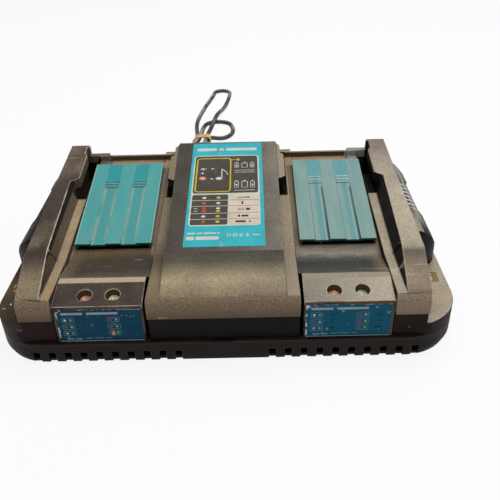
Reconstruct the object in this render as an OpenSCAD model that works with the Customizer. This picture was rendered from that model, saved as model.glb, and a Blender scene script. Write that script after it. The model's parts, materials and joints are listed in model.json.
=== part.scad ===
// Twin-bay charger for sliding power tool battery packs.
// Millimetres. X to the right, Y to the rear, Z up; the origin is on the floor under the middle.

/* [Housing] */
// Depth from the front apron to the rear wall
body_d = 200; // [196:1:208]
// Height at the rear edge of the hump and the arms
body_h = 85; // [83:0.5:92]
// Height of the lower housing, up to the parting line
tray_h = 17; // [15:0.5:19]
// Wall of both housings
wall = 2.5; // [2:0.1:3]
// Slope of the top of the hump and the arms, in degrees
top_slope = 8.2; // [7.6:0.1:8.6]
// Depth of the sloped nose in front of the top
nose_d = 47.5; // [44:0.5:52]
// Height of the top edge of the front apron
apron_z = 54; // [53:0.5:56]
// Radius of the rounding from the nose to the apron
nose_r = 9; // [5:0.5:11]
// Height of the bottom edge of the front apron
band_z = 38; // [34:0.5:42]
// Depth of the band set back under the apron
band_set = 3.2; // [2:0.1:4]
// Half width of the central hump
hump_half = 44; // [42:0.5:50]
// Width of the rail beside the hump
rail_w = 9.5; // [8.5:0.5:12]
// Width of the rail beside the outer arm
outer_rail_w = 7; // [6:0.5:9]
// Width of each outer arm at its foot
arm_w = 21; // [19:0.5:25]
// Lean of the arm's inner wall, from foot to top
arm_lean = 6; // [4:0.5:7]
// Width of the side ledge outside the arm
ledge_w = 22.5; // [21:0.5:26]
// Height of the side ledge
ledge_z = 28; // [26:0.5:30]
// Height of the side pods above the ledge
pod_h = 36; // [32:0.5:36]
// Radius of the front corners in plan
front_corner_r = 40; // [34:1:44]
// Radius of the rear corners in plan
rear_corner_r = 18; // [12:1:22]
// Chamfer around the foot of the lower housing
foot_bevel = 3.5; // [2:0.5:4]

/* [Bays] */
// Width of the bay floor between the rails
bay_w = 66; // [64:0.5:70]
// Slope of the bay floor, in degrees
bay_slope = 10.2; // [9.6:0.1:10.8]
// Distance from the front apron to the front edge of the cover
cover_back = 73.3; // [72:0.5:75]
// Height of the front edge of the cover's top
cover_z = 55.3; // [54.8:0.1:56.5]
// Gap from the bay floor to the cover's top face
cover_rise = 5; // [4.8:0.1:5.4]
// Slope of the rails behind the nose, in degrees
rail_slope = 6.6; // [6:0.1:7.2]
// Depth of the undercut side pockets below the rails
pocket_deep = 11; // [8:0.5:12]
// Distance from the rear wall to the front edge of the overhangs
hook_back = 59; // [55:1:62]
// Thickness of the overhangs that hold the battery's rails
hook_t = 9; // [7:0.5:10]
// Reach of the arm's overhang over the bay
hook_reach = 7; // [5:0.5:8]

/* [Terminal covers] */
// Width of a terminal cover
cover_w = 59.5; // [56:0.5:61]
// Length of a terminal cover along the slope
cover_l = 106; // [102:0.5:107]
// Plate thickness of a terminal cover
cover_t = 1.8; // [1.4:0.1:2]
// Travel of a terminal cover along the slope
cover_travel = 14; // [12:0.5:15]
// Depth of the long grooves in the cover
groove_deep = 1; // [0.8:0.1:1.6]
// Length of the shallow rear part of the grooves
groove_rear = 25; // [20:1:36]
// Distance between the grip ridges across the grooves
grip_pitch = 4; // [3:0.5:6]
// Width of a grip ridge
grip_t = 0.9; // [0.6:0.1:1.5]

/* [Front blocks] */
// Depth of the sloped indicator face, front to rear
lamp_face_d = 21.5; // [19:0.5:23]
// Slope of the indicator face, in degrees
lamp_slope = 12; // [10:0.5:14]
// Height of the front edge of the indicator face
lamp_front_z = 48.6; // [47:0.2:50]
// Depth of the flat strip behind the indicator face
lamp_strip_d = 6.4; // [5:0.2:9]
// Width of a front block
lamp_block_w = 63.2; // [60:0.2:63.4]
// Diameter of an indicator well
well_d = 10.4; // [9:0.2:12]
// Depth of an indicator well
well_deep = 6.5; // [5:0.5:8]
// Distance between the two indicators
lamp_pitch = 19.8; // [18:0.2:24]

/* [Vents] */
// Number of slots in each half of the comb at the front foot
comb_count = 10; // [8:1:10]
// Width of a comb slot
comb_w = 4.8; // [3.6:0.1:5.4]
// Height of a comb slot
comb_h = 9.2; // [7:0.1:10]
// Pitch of the comb slots
comb_pitch = 11.4; // [10.6:0.1:11.6]
// Number of louvre slots in each side pod
louvre_count = 4; // [3:1:5]
// Size of the square cooling fans
fan_size = 40; // [36:1:40]
// Thickness of the cooling fans
fan_t = 10; // [8:0.5:12]

/* [Cord] */
// Diameter of the mains cord
cord_d = 5.5; // [5:0.1:6]

/* [Hidden] */

SEAT = 0.3;      // gap left between pieces that lie on each other without touching faces
SLIDE = 0.4;     // running gap of the covers
EPS = 0.01;
BIG = 400;
$fn = 48;

HOUSING = [0.16, 0.15, 0.15];
TRAY = [0.11, 0.10, 0.10];
TEAL = [0.20, 0.60, 0.60];
BLACK = [0.08, 0.08, 0.08];
STEEL = [0.72, 0.72, 0.74];
COPPER = [0.80, 0.55, 0.30];
BOARD = [0.10, 0.35, 0.18];

// ---- places worked out from the sizes above ----
y_front = -body_d / 2;
y_rear = body_d / 2;
crease_y = y_front + nose_d;
function top_z(y) = body_h - (y_rear - y) * tan(top_slope);

bay_in = hump_half + rail_w;                 // inner edge of the bay floor
bay_out = bay_in + bay_w;                    // outer edge of the bay floor
lamp_gap = bay_w - lamp_block_w - SEAT;      // open slot between the front block and the inner rail
bay_x = bay_in + lamp_gap + lamp_block_w / 2; // middle line of the front block and the cover
arm_in = bay_out + outer_rail_w;             // foot of the arm's inner wall
arm_out = arm_in + arm_w;                    // outer edge of the arm at the crease
half_w = arm_out + ledge_w;                  // half of the overall width

rail_flat = 54;                              // length of the level front stretch of the rails
rail_bend_y = y_front + rail_flat;
function rail_top(y) = apron_z + max(0, y - rail_bend_y) * tan(rail_slope);
cover_y = y_front + cover_back;
function floor_z(y) = cover_z - cover_rise / cos(bay_slope) + (y - cover_y) * tan(bay_slope);

lamp_y0 = y_front + band_set;                // front face of the front block
lamp_y1 = lamp_y0 + lamp_face_d;             // rear edge of the indicator face
lamp_y2 = lamp_y1 + lamp_strip_d;            // rear face of the front block
lamp_top = lamp_front_z + lamp_face_d * tan(lamp_slope);
ramp_l = 26;                                 // ramp from the front block down to the bay floor
sill_y = y_rear - 12;                        // rear end of the bay floor
block_y = y_rear - 6;                        // front face of the raised rear corners
hook_y = y_rear - hook_back;
hook_end = y_rear - 21;

boss_r = 4.5;
tray_boss_r = 5.6;
pilot_r = 1.6;
screw_r = 1.5;
boss_at = [[bay_in + 4, y_front + 40], [arm_in + 4, y_rear - 22], [arm_in + 6, y_front + 24],
           [hump_half - 8, y_rear - 12]];
board_z = 9;
board_t = 1.6;
board_top = board_z + board_t;
board_w = 206;
board_d = 108;
board_y = 2;
post_at = [[board_w / 2 - 7, board_d / 2 - 7], [board_w / 2 - 7, -board_d / 2 + 7]];

// ---- helpers ----
module both() {
  children();
  mirror([1, 0, 0]) children();
}
module on_side(s) {
  if (s < 0) mirror([1, 0, 0]) children();
  else children();
}
// a (y, z) outline drawn out along X, centred
module along_x(w) {
  rotate([90, 0, 90]) linear_extrude(w, center = true) children();
}
// an (x, z) outline drawn out along +Y from y = 0
module along_y(l) {
  translate([0, l, 0]) rotate([90, 0, 0]) linear_extrude(l) children();
}
// the frame of a bay: origin at the cover's front top edge, y up the slope, z off the face
module bay_frame() {
  translate([bay_x, cover_y, cover_z]) rotate([bay_slope, 0, 0]) children();
}
// the frame of the sloped indicator face, origin between the two wells
lamp_back = lamp_face_d * 0.47;
module lamp_frame() {
  translate([bay_x, lamp_y0 + lamp_back, lamp_front_z + lamp_back * tan(lamp_slope)])
    rotate([lamp_slope, 0, 0]) children();
}
// the frame of the sloping top, origin on its rear edge
module top_frame() {
  translate([0, y_rear, body_h]) rotate([top_slope, 0, 0]) children();
}

// ---- outlines of the housings, each drawn in by i ----
module base_plan(i = 0) {
  both() {
    translate([half_w - front_corner_r, y_front + front_corner_r]) circle(front_corner_r - i);
    translate([half_w - rear_corner_r, y_rear - rear_corner_r]) circle(rear_corner_r - i);
    polygon([[0, y_front + i], [half_w - front_corner_r, y_front + i],
             [half_w - i, y_front + front_corner_r], [half_w - i, y_rear - rear_corner_r],
             [half_w - rear_corner_r, y_rear - i], [0, y_rear - i]]);
  }
}
module skirt_plan(i = 0) {
  intersection() {
    base_plan(i);
    translate([-BIG / 2, lamp_y0 + i]) square(BIG);
  }
}
module tower_plan(i = 0) {
  both() polygon([[0, y_front + i], [arm_out - 4.5 - i, y_front + i], [arm_out - i, crease_y],
                  [arm_out - 5 - i, y_rear - i], [0, y_rear - i]]);
}
nose_slope = atan((top_z(crease_y) - apron_z) / nose_d);
nose_steps = 6;
module tower_profile(i = 0) {
  drop = i / cos(top_slope);
  // the nose runs over into the apron on an arc
  arc = [for (k = [0:nose_steps]) let (t = 180 - k * (90 - nose_slope) / nose_steps)
    [y_front + nose_r + (nose_r - i) * cos(t),
     apron_z + nose_r * tan(nose_slope) - nose_r / cos(nose_slope) + (nose_r - i) * sin(t)]];
  polygon(concat([[lamp_y0 + i, tray_h], [lamp_y0 + i, band_z + i], [y_front + i, band_z + i]], arc,
          [[crease_y, top_z(crease_y) - drop],
           [y_rear - 3 - i, top_z(y_rear - 3 - i) - drop], [y_rear - i, body_h - 4 - i],
           [y_rear - i, tray_h]]));
}

// ---- side pods: two fenders with the louvred wall between them ----
pod_front_y = y_front + 92;
pod_rear_y = y_rear - 22;
louvre_y = (pod_front_y + pod_rear_y) / 2;
module pod_plan(i = 0) {
  translate([half_w - 27, pod_front_y]) circle(25 - i);
  translate([half_w - 24, pod_rear_y]) circle(17 - i);
  translate([arm_in, pod_front_y]) square([half_w - 12 - i - arm_in, pod_rear_y - pod_front_y]);
}
module pod_section(i = 0) {
  x = half_w;
  z = ledge_z + pod_h;
  translate([-i, -i])
    polygon([[arm_in - 10, z], [x - 21, z], [x - 15, z - 4], [x - 9, z - 10], [x - 5, z - 18],
             [x - 2, z - 32], [x - 2, 0], [arm_in - 10, 0]]);
}
module pod(i = 0) {
  intersection() {
    translate([0, 0, tray_h]) linear_extrude(body_h) pod_plan(i);
    translate([0, y_front, 0]) along_y(body_d) pod_section(i);
  }
}

// ---- everything that the bays take out of the tower, grown by g ----
low_wall_z = body_h - 9.8;
module well_profile(g = 0) {
  y = block_y - 1 + g;
  polygon([[y_front - 2, apron_z - g], [rail_bend_y, apron_z - g], [y, rail_top(y) - g],
           [y, low_wall_z - g], [y_rear + 10, low_wall_z - g], [y_rear + 10, BIG], [y_front - 2, BIG]]);
}
module bay_well(g = 0) {
  w = arm_in - hump_half + 2 * g;
  translate([(arm_in + hump_half) / 2, 0, 0]) along_x(w) well_profile(g);
  // the lean of the arm's inner wall beside the level and the sloping rail
  translate([arm_in + g, y_front - 2, apron_z - g]) along_y(rail_flat + 2)
    polygon([[-1, 0], [0, 0], [arm_lean * 1.5, 18], [-1, 18]]);
  translate([arm_in + g, rail_bend_y, apron_z - g]) rotate([rail_slope, 0, 0])
    translate([0, -1, 0]) along_y((block_y - rail_bend_y) / cos(rail_slope) + g)
      polygon([[-1, 0], [0, 0], [arm_lean, 12], [arm_lean, 60], [-1, 60]]);
}
// floor, ramp and the opening for the front block
module bay_floor_cut(g = 0) {
  f0 = lamp_y2 + ramp_l;
  y = lamp_y2 + SEAT + g;
  translate([(bay_in + bay_out) / 2, 0, 0]) along_x(bay_w + 2 * g)
    polygon([[y_front - 2, tray_h - 1], [y, tray_h - 1], [y, lamp_top - g], [f0, floor_z(f0) - g],
             [sill_y + g, floor_z(sill_y + g) - g], [sill_y + g, BIG], [y_front - 2, BIG]]);
}
module pocket_cut(g = 0) {
  z0 = rail_top(hook_y) - pocket_deep - g;
  l = block_y - hook_y + 8;
  translate([0, hook_y - 8 - g, z0]) {
    translate([hump_half + 0.5 - g, 0, 0]) cube([rail_w - 2.5 + 2 * g, l, BIG]);
    translate([bay_out - 1.5 - g, 0, 0]) cube([outer_rail_w + arm_lean - 1 + 2 * g, l, BIG]);
  }
}
// the dip in the rear wall that the cover backs into, with the trough before it
module rear_cut(g = 0) {
  dip_in = bay_in + 4;
  dip_out = bay_out - 10;
  floor = floor_z(sill_y) - 3;
  translate([(dip_in + dip_out) / 2, 0, 0]) along_x(dip_out - dip_in + 2 * g)
    polygon([[sill_y - 1, floor - g], [y_rear - wall, floor - g], [y_rear - wall, body_h - 12 - g],
             [y_rear + 10, body_h - 12 - g], [y_rear + 10, BIG], [sill_y - 1, BIG]]);
}
module terminal_pocket(g = 0) {
  bay_frame() {
    translate([-20 - g, 3 - g, -cover_rise - 13 - g]) cube([40 + 2 * g, 48 + 2 * g, 30]);
    translate([-spring_r - 1.4 - g, 56 - g, spring_v - spring_r - 0.8 - g])
      cube([2 * (spring_r + 1.4 + g), spring_end - 56 + SEAT + 2 * g, 30]);
  }
}
leg_u = [9, 74];
leg_l = 7;
leg_t = 2;
leg_x = cover_w / 2 - 3.4;
leg_foot = -cover_rise - wall - SLIDE - 1.6;
module leg_slots() {
  bay_frame() for (u = leg_u, s = [-1, 1])
    translate([s * leg_x - leg_t / 2 - SLIDE, u - 0.5, -cover_rise - 6])
      cube([leg_t + 2 * SLIDE, leg_l + cover_travel + 1, 10]);
}
module bay_cut(g = 0) {
  difference() {
    union() {
      bay_well(g);
      bay_floor_cut(g);
      pocket_cut(g);
      rear_cut(g);
    }
    // the overhangs under which the battery's rails slide
    if (g == 0) overhangs();
  }
  terminal_pocket(g);
}
module overhangs() {
  x1 = arm_in + arm_lean;
  top_frame() translate([0, 0, -hook_t]) linear_extrude(hook_t + 20) {
    y = function (v) (v - y_rear) / cos(top_slope);
    polygon([[x1 + 3, y(hook_y)], [x1 - 2, y(hook_y)], [x1 - hook_reach, y(hook_y + 4)],
             [x1 - hook_reach, y(hook_end)], [x1 - 4.3, y(hook_end + 5)], [x1 - 4.3, 20], [x1 + 3, 20]]);
    polygon([[hump_half - 2, y(hook_y - 2)], [hump_half + 2, y(hook_y - 2)], [hump_half + 6, y(hook_y + 1)],
             [hump_half + 6, y(hook_end - 4)], [hump_half + 3, y(hook_end - 1)],
             [hump_half + 3, y(y_rear - 10)], [hump_half - 0.5, y(y_rear - 5)], [hump_half - 2, 20]]);
  }
}

// ---- upper housing ----
module housing_body(i = 0) {
  intersection() {
    along_x(2 * BIG) tower_profile(i);
    translate([0, 0, tray_h]) linear_extrude(BIG) tower_plan(i);
  }
  translate([0, 0, tray_h]) linear_extrude(ledge_z - tray_h - i) skirt_plan(i);
  both() pod(i);
}
module cord_hole(r) {
  translate([cord_x, y_rear - wall - 3, cord_z]) rotate([-90, 0, 0]) cylinder(r = r, h = wall + 6);
}
module louvres() {
  pitch = 8;
  for (k = [0:louvre_count - 1])
    translate([half_w - 14, louvre_y + (k - (louvre_count - 1) / 2) * pitch, ledge_z + 14])
      rotate([0, 0, 35]) rotate([18, 0, 0]) cube([16, 3.2, 22], center = true);
}
module bosses(r, h) {
  both() for (p = boss_at) translate([p[0], p[1], 0]) cylinder(r = r, h = h);
}
module upper_housing() color(HOUSING) {
  difference() {
    housing_body();
    both() bay_cut();
    // the hollow inside, which leaves the walls, the bay tubs and the screw bosses
    difference() {
      translate([0, 0, -EPS]) housing_body(wall);
      both() bay_cut(wall);
      bosses(boss_r, BIG);
    }
    // open under the parting line
    bosses(pilot_r, tray_h + 12);
    both() leg_slots();
    both() louvres();
    cord_hole(relief_neck_r + 0.1);
  }
}

// ---- lower housing ----
tray_front = 6;
comb_lip = 2.5;
module lower_housing() color(TRAY) {
  difference() {
    union() {
      difference() {
        hull() {
          linear_extrude(1) {
            base_plan(foot_bevel);
            translate([0, 1 - foot_bevel]) base_plan(foot_bevel);   // the front edge is nearly square
          }
          translate([0, 0, foot_bevel + 1]) linear_extrude(tray_h - foot_bevel - 1) base_plan();
        }
        translate([0, 0, wall]) linear_extrude(tray_h) intersection() {
          base_plan(wall);
          translate([-BIG / 2, y_front + tray_front]) square(BIG);
        }
      }
      bosses(tray_boss_r, tray_h);
      both() for (p = post_at) translate([p[0], board_y + p[1], 0]) cylinder(r = 3.5, h = board_z);
      both() fan_cradle();
    }
    // screw wells from below
    both() for (p = boss_at) translate([p[0], p[1], -1]) {
      cylinder(r = screw_r + 0.2, h = tray_h + 2);
      cylinder(r = 3.6, h = 9);
    }
    both() for (p = post_at) translate([p[0], board_y + p[1], wall]) cylinder(r = 1.1, h = board_z);
    // comb of air slots along the front foot, notched through its lip
    both() for (k = [0:comb_count - 1]) translate([33.8 + k * comb_pitch - comb_w / 2, y_front - 1, 0]) {
      translate([0, 0, -1]) cube([comb_w, 1 + comb_lip, comb_h + 1]);
      translate([0, 0, wall + 0.3]) cube([comb_w, tray_front + 3, comb_h - wall - 0.3]);
    }
    cord_hole(relief_neck_r + 0.1);
  }
}
fan_x = arm_out - 3;
fan_z = board_z + 4 + fan_size / 2;
module fan_cradle() {
  for (s = [-1, 1])
    translate([fan_x - fan_t / 2 - 2.3, louvre_y + s * (fan_size / 2 - 6) - 3, 0])
      difference() {
        cube([fan_t + 4.6, 6, fan_z - fan_size / 2 + 6]);
        translate([2.3 - SEAT / 2, -1, fan_z - fan_size / 2]) cube([fan_t + SEAT, 8, BIG]);
      }
}

// ---- front blocks with the indicator wells ----
module lamp_profile(i = 0) {
  polygon([[lamp_y0 + i, tray_h], [lamp_y0 + i, lamp_front_z - i], [lamp_y1, lamp_top - i],
           [lamp_y2 - i, lamp_top - i], [lamp_y2 - i, tray_h]]);
}
module lamp_block(s) color(HOUSING) on_side(s) {
  difference() {
    union() {
      difference() {
        translate([bay_x, 0, 0]) along_x(lamp_block_w) lamp_profile();
        translate([bay_x, 0, -EPS]) along_x(lamp_block_w - 2 * wall) lamp_profile(wall);
      }
      lamp_frame() for (k = [-0.5, 0.5])
        translate([k * lamp_pitch, 0, -well_deep - 1.5]) cylinder(d = well_d + 3, h = well_deep + 1);
      // posts and stakes that hold the lamp board
      lamp_frame() for (k = [-1, 1]) translate([k * stake_x, 0, 0]) {
        translate([0, 0, lamp_v]) cylinder(r = 2.6, h = -lamp_v - wall / 2);
        translate([0, 0, lamp_v - board_t - 0.8]) cylinder(r = 0.9, h = board_t + 2);
      }
    }
    lamp_frame() for (k = [-0.5, 0.5]) translate([k * lamp_pitch, 0, 0]) {
      translate([0, 0, -well_deep]) cylinder(d = well_d, h = well_deep + 5);
      translate([0, 0, -well_deep - 5]) cylinder(d = 5.4, h = 10);
    }
  }
}
// five millimetre lamp, base plane at z = 0
module lamp() {
  cylinder(d = 5, h = 6);
  translate([0, 0, 6]) intersection() {
    sphere(d = 5);
    cylinder(d = 6, h = 3);
  }
}
lamp_v = -well_deep - 1.5 - 3;
stake_x = 19;
module lamps(side_of_bay, c) color(c)
  for (s = [-1, 1]) translate([s < 0 ? -2 * bay_x : 0, 0, 0]) lamp_frame()
    translate([side_of_bay * lamp_pitch / 2, 0, lamp_v]) lamp();
module red_lamps() lamps(-1, [0.85, 0.30, 0.25]);
module green_lamps() lamps(1, [0.45, 0.75, 0.45]);
module lamp_board(s) color(BOARD) on_side(s) lamp_frame()
  difference() {
    translate([-23, -5.5, lamp_v - board_t]) cube([46, 11, board_t]);
    for (k = [-1, 1]) translate([k * stake_x, 0, lamp_v - 2]) cylinder(r = 1, h = 4);
  }

// ---- sliding terminal covers ----
// cross-section (x, v): lands and grooves in five even strips, with side skirts
module cover_section(deep) {
  w = cover_w / 2;
  g = cover_w / 10;
  b = -cover_t;
  polygon([[-w, -cover_rise + SLIDE], [-w, 0], [-3 * g, 0], [-3 * g + 0.4, -deep], [-g - 0.4, -deep],
           [-g, 0], [g, 0], [g + 0.4, -deep], [3 * g - 0.4, -deep], [3 * g, 0], [w, 0],
           [w, -cover_rise + SLIDE], [w - 2, -cover_rise + SLIDE], [w - 2, b],
           [3 * g + 1.2, b], [3 * g - 0.2, b - deep], [g + 0.2, b - deep], [g - 1.2, b],
           [-g + 1.2, b], [-g - 0.2, b - deep], [-3 * g + 0.2, b - deep], [-3 * g - 1.2, b],
           [-w + 2, b], [-w + 2, -cover_rise + SLIDE]]);
}
module terminal_cover(s) color(TEAL) on_side(s) bay_frame() {
  front_l = cover_l - groove_rear;
  along_y(front_l) cover_section(groove_deep);
  translate([0, front_l, 0]) along_y(groove_rear) cover_section(groove_deep / 2);
  // three grip ridges across each groove, as high as the lands
  grip_w = cover_w / 5 - 1.1;
  for (x = [-1, 1], k = [0:2])
    translate([x * cover_w / 5 - grip_w / 2, front_l - 0.5 - k * grip_pitch, -groove_deep - cover_t / 2])
      cube([grip_w, grip_t, groove_deep + cover_t / 2]);
  // rear skirt
  translate([-cover_w / 2, cover_l - 2, -cover_rise + SLIDE]) cube([cover_w, 2, cover_rise - SLIDE - cover_t]);
  // legs that run in the floor slots, with hooks under the floor
  for (u = leg_u, k = [-1, 1]) translate([0, u, leg_foot]) {
    translate([k * leg_x - leg_t / 2, 0, 0]) cube([leg_t, leg_l, -leg_foot - 1]);
    translate([k * (leg_x - 0.7) - 1.5, 0, 0]) cube([3, leg_l, 1.6]);
  }
  // tab that pushes the return spring
  translate([-4, tab_u, spring_v - spring_r]) cube([8, 2.5, -spring_v + spring_r - 1]);
}

// ---- return springs ----
tab_u = 58;
spring_r = 3.5;
spring_wire = 0.8;
spring_v = -cover_rise - spring_r - 0.8;
spring_start = tab_u + 2.5 + SEAT;
spring_end = 95;
spring_turns = 8;
module cover_spring(s) color(STEEL) on_side(s) bay_frame()
  translate([0, 0, spring_v]) coil_spring(spring_start, spring_end, spring_r - spring_wire / 2, spring_wire, spring_turns);
// a round wire wound about Y from y0 to y1
module coil_spring(y0, y1, r, wire, turns) {
  steps = 10 * turns;
  sides = 6;
  l = y1 - y0 - wire;
  rings = [for (i = [0:steps]) let (a = 360 * i / 10, y = y0 + wire / 2 + l * i / steps)
    [for (j = [0:sides - 1]) let (b = 360 * j / sides, q = r + wire / 2 * cos(b))
      [q * cos(a), y + wire / 2 * sin(b), q * sin(a)]]];
  tube_mesh(rings, sides);
}
// a closed skin over rings of points
module tube_mesh(rings, sides) {
  n = len(rings);
  polyhedron(
    points = [for (r = rings) for (p = r) p],
    faces = concat(
      [[for (j = [0:sides - 1]) j]],
      [for (i = [0:n - 2], j = [0:sides - 1]) let (k = (j + 1) % sides)
        [i * sides + j, (i + 1) * sides + j, (i + 1) * sides + k, i * sides + k]],
      [[for (j = [sides - 1:-1:0]) (n - 1) * sides + j]]));
}

// ---- terminals ----
term_v = -cover_rise - 13;
blade_x = [-14, 14];
module terminal_block(s) color(BLACK) on_side(s) bay_frame() {
  difference() {
    translate([-18.5, 24, term_v]) cube([37, 24, 12.4]);
    for (x = concat(blade_x, [-4, 0, 4])) translate([x - 0.8, 23, term_v + 3]) cube([1.6, 12, 20]);
    translate([-19, 40, term_v + 10]) cube([38, 9, 10]);
  }
  translate([-18.5, 8, term_v]) cube([37, 16, 2.5]);
}
module contact_blades(s) color(STEEL) on_side(s) bay_frame() {
  for (x = blade_x) translate([x - 0.5, 10, term_v + 3.2]) cube([1, 24.7, 9]);
  for (x = [-4, 0, 4]) translate([x - 0.3, 14, term_v + 3.2]) cube([0.6, 20.7, 6.5]);
}

// ---- main circuit board and what stands on it ----
module main_board() color(BOARD)
  difference() {
    translate([-board_w / 2, board_y - board_d / 2, board_z]) cube([board_w, board_d, board_t]);
    both() for (p = post_at) translate([p[0], board_y + p[1], board_z - 1]) cylinder(r = 1.2, h = 4);
  }
core_w = 50;
core_d = 20;
core_h = 40;
core_leg = 14;
core_wall = 7;
core_at = [-12, 8];
module transformer_core() color([0.25, 0.25, 0.27])
  translate([core_at[0], core_at[1] - core_d / 2, board_top])
    along_y(core_d) difference() {
      translate([-core_w / 2, 0]) square([core_w, core_h]);
      for (s = [-1, 1]) translate([s * (core_leg / 2 + (core_w / 2 - core_wall)) / 2, core_h / 2])
        square([core_w / 2 - core_wall - core_leg / 2, core_h - 2 * core_wall], center = true);
    }
module transformer_coil() color(COPPER)
  translate([core_at[0], core_at[1], board_top + core_wall + SEAT]) linear_extrude(core_h - 2 * core_wall - 2 * SEAT)
    difference() {
      square([core_w - 2 * core_wall - 1, core_d + 18], center = true);
      square([core_leg + 2 * SEAT, core_d + 2 * SEAT], center = true);
    }
module electrolytic_capacitors() color([0.12, 0.16, 0.30]) {
  for (p = [[24, -14], [24, 12], [24, 38]]) translate([p[0], p[1], board_top]) cylinder(d = 22, h = 34);
  for (p = [[-62, -34], [-74, -34], [52, 44], [66, 44]]) translate([p[0], p[1], board_top]) cylinder(d = 10, h = 14);
}
sink_x = 84;
sink_y = -16;
module heat_sinks() color([0.75, 0.76, 0.78])
  both() translate([sink_x, sink_y - 26, board_top]) along_y(52) {
    square([3, 20]);
    for (k = [0:4]) translate([3, 1 + k * 4.2]) square([9, 1.4]);
    translate([0, 0]) square([8, 1.6]);
  }
module power_transistors() color(BLACK)
  both() for (y = [-34, -16, 2]) translate([sink_x - 4.6, y - 5, board_top + 3]) cube([4.6, 10, 15]);
module line_choke() color(COPPER)
  translate([-40, -28, board_top + 5.5 + SEAT]) rotate_extrude() translate([7.5, 0]) circle(5.5);
module line_fuse() color([0.85, 0.85, 0.80]) translate([-50, 36, board_top]) {
  translate([0, 0, 4]) rotate([0, 90, 0]) cylinder(d = 5, h = 20);
  for (x = [1, 16]) translate([x, -3, 0]) cube([3, 6, 3]);
}
module buzzer() color(BLACK) translate([8, -38, board_top]) difference() {
  cylinder(d = 12, h = 9);
  translate([0, 0, 5]) cylinder(d = 2, h = 6);
}
module board_screws() color(STEEL) both() for (p = post_at) translate([p[0], board_y + p[1], board_top]) {
  cylinder(r = 2.4, h = 1.6);
  translate([0, 0, -5]) cylinder(r = 1, h = 5.5);
}
module housing_screws() color(STEEL) both() for (p = boss_at) translate([p[0], p[1], 8]) {
  translate([0, 0, -2.6]) cylinder(r = 3.2, h = 2.6);
  cylinder(r = screw_r, h = 16);
}

// ---- cooling fans, axis along X ----
fan_bore = fan_size - 2.4;
hub_r = 8;
module fan_frame(s) color(BLACK) on_side(s)
  translate([fan_x, louvre_y, fan_z]) rotate([0, 90, 0]) {
    difference() {
      translate([-fan_size / 2, -fan_size / 2, -fan_t / 2]) cube([fan_size, fan_size, fan_t]);
      translate([0, 0, -fan_t]) cylinder(d = fan_bore, h = 2 * fan_t);
      for (a = [45:90:315]) rotate(a) translate([fan_size / 2 * 1.23, 0, -fan_t]) cylinder(r = 1.6, h = 2 * fan_t);
    }
    // spider and bearing post that carry the rotor
    translate([0, 0, -fan_t / 2]) {
      for (a = [0:120:240]) rotate(a + 15) translate([0, -1, 0]) cube([fan_bore / 2 + 0.5, 2, 1.6]);
      cylinder(r = hub_r, h = 1.6);
      cylinder(r = 1.5, h = fan_t - 2.5);
    }
  }
module fan_rotor(s) color([0.2, 0.2, 0.2]) on_side(s)
  translate([fan_x, louvre_y, fan_z]) rotate([0, 90, 0]) {
    difference() {
      translate([0, 0, -fan_t / 2 + 2.1]) cylinder(r = hub_r, h = fan_t - 2.6);
      translate([0, 0, -fan_t / 2 + 1]) cylinder(r = 1.55, h = fan_t - 3.2);
    }
    for (k = [0:6]) intersection() {
      rotate(k * 360 / 7) rotate([38, 0, 0]) translate([hub_r - 1, -5.5, -0.5]) cube([fan_size / 2, 11, 1]);
      translate([0, 0, -fan_t / 2 + 2.2]) cylinder(d = fan_bore - 1.2, h = fan_t - 2.8);
    }
  }

// ---- mains cord: strain relief, lead, tied hank with its two loops, plug ----
cord_x = -44;
cord_z = tray_h;
relief_neck_r = 5.5;
relief_l = 32;
module strain_relief() color(BLACK)
  translate([cord_x, y_rear, cord_z]) rotate([-90, 0, 0]) rotate_extrude()
    polygon([[0, -wall - 2.4], [7.5, -wall - 2.4], [7.5, -wall - SEAT], [relief_neck_r, -wall - SEAT],
             [relief_neck_r, SEAT], [7.2, SEAT], [7.2, 2.5], [cord_d / 2 + 1.2, relief_l], [0, relief_l]]);

// hand-laid routes of the cord's centre line
CORD_LIFT = cord_d / 2 + 0.1;
lead_route = [[-44, 132, 17], [-44, 137, 16.8], [-44, 142, 15], [-44, 147, 12], [-44, 152, 8.5],
              [-44, 157, 5.2], [-44, 163, 3.4], [-44, 171, 2.9]];
long_loop = [[-46.5, 308, 4.4], [-48, 322, 3.2], [-49.5, 340, 2.9], [-49.5, 358, 2.9], [-47.5, 378, 2.9],
             [-44.5, 398, 2.9], [-41, 418, 2.9], [-37, 438, 2.9], [-34, 453, 2.9], [-32.4, 463, 2.9],
             [-31.2, 472, 2.9], [-27.7, 477.3, 2.9], [-20.5, 480, 2.9], [-13.3, 477.3, 2.9],
             [-9.8, 472, 2.9], [-9.2, 461, 2.9], [-10, 446, 2.9], [-12, 430, 2.9], [-14.5, 411, 3.6],
             [-17.5, 392, 6], [-20.5, 376, 8.8], [-23.5, 362, 9.8], [-26, 349, 9.2], [-28.5, 337, 7],
             [-31, 324, 5], [-33.5, 308, 4.4]];
short_loop = [[-40, 308, 10.2], [-40.5, 318, 7.5], [-40.5, 328, 4.6], [-39.7, 338, 3.1],
              [-37.3, 347, 2.9], [-30.9, 353.4, 2.9], [-22, 355.7, 2.9], [-13.1, 353.4, 2.9],
              [-6.6, 347, 2.9], [-3.6, 338, 2.9], [-2, 328, 2.9], [-2.5, 317.5, 2.9], [-6, 307.5, 2.9],
              [-12.5, 300, 3.4], [-20, 295, 5.2], [-26, 291.5, 7.8], [-30.5, 290, 9.2]];
tail_route = [[-34, 171, 2.9], [-33, 163, 2.9], [-29.5, 155, 2.9], [-23.5, 149, 2.9], [-15, 145.3, 2.9],
              [-5, 144, 3.2], [5, 144, 4.8], [14, 144, 6.5], [22, 144, 7]];

function unit(v) = v / norm(v);
function heading(p, i) = unit(p[min(i + 1, len(p) - 1)] - p[max(i - 1, 0)]);
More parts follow.
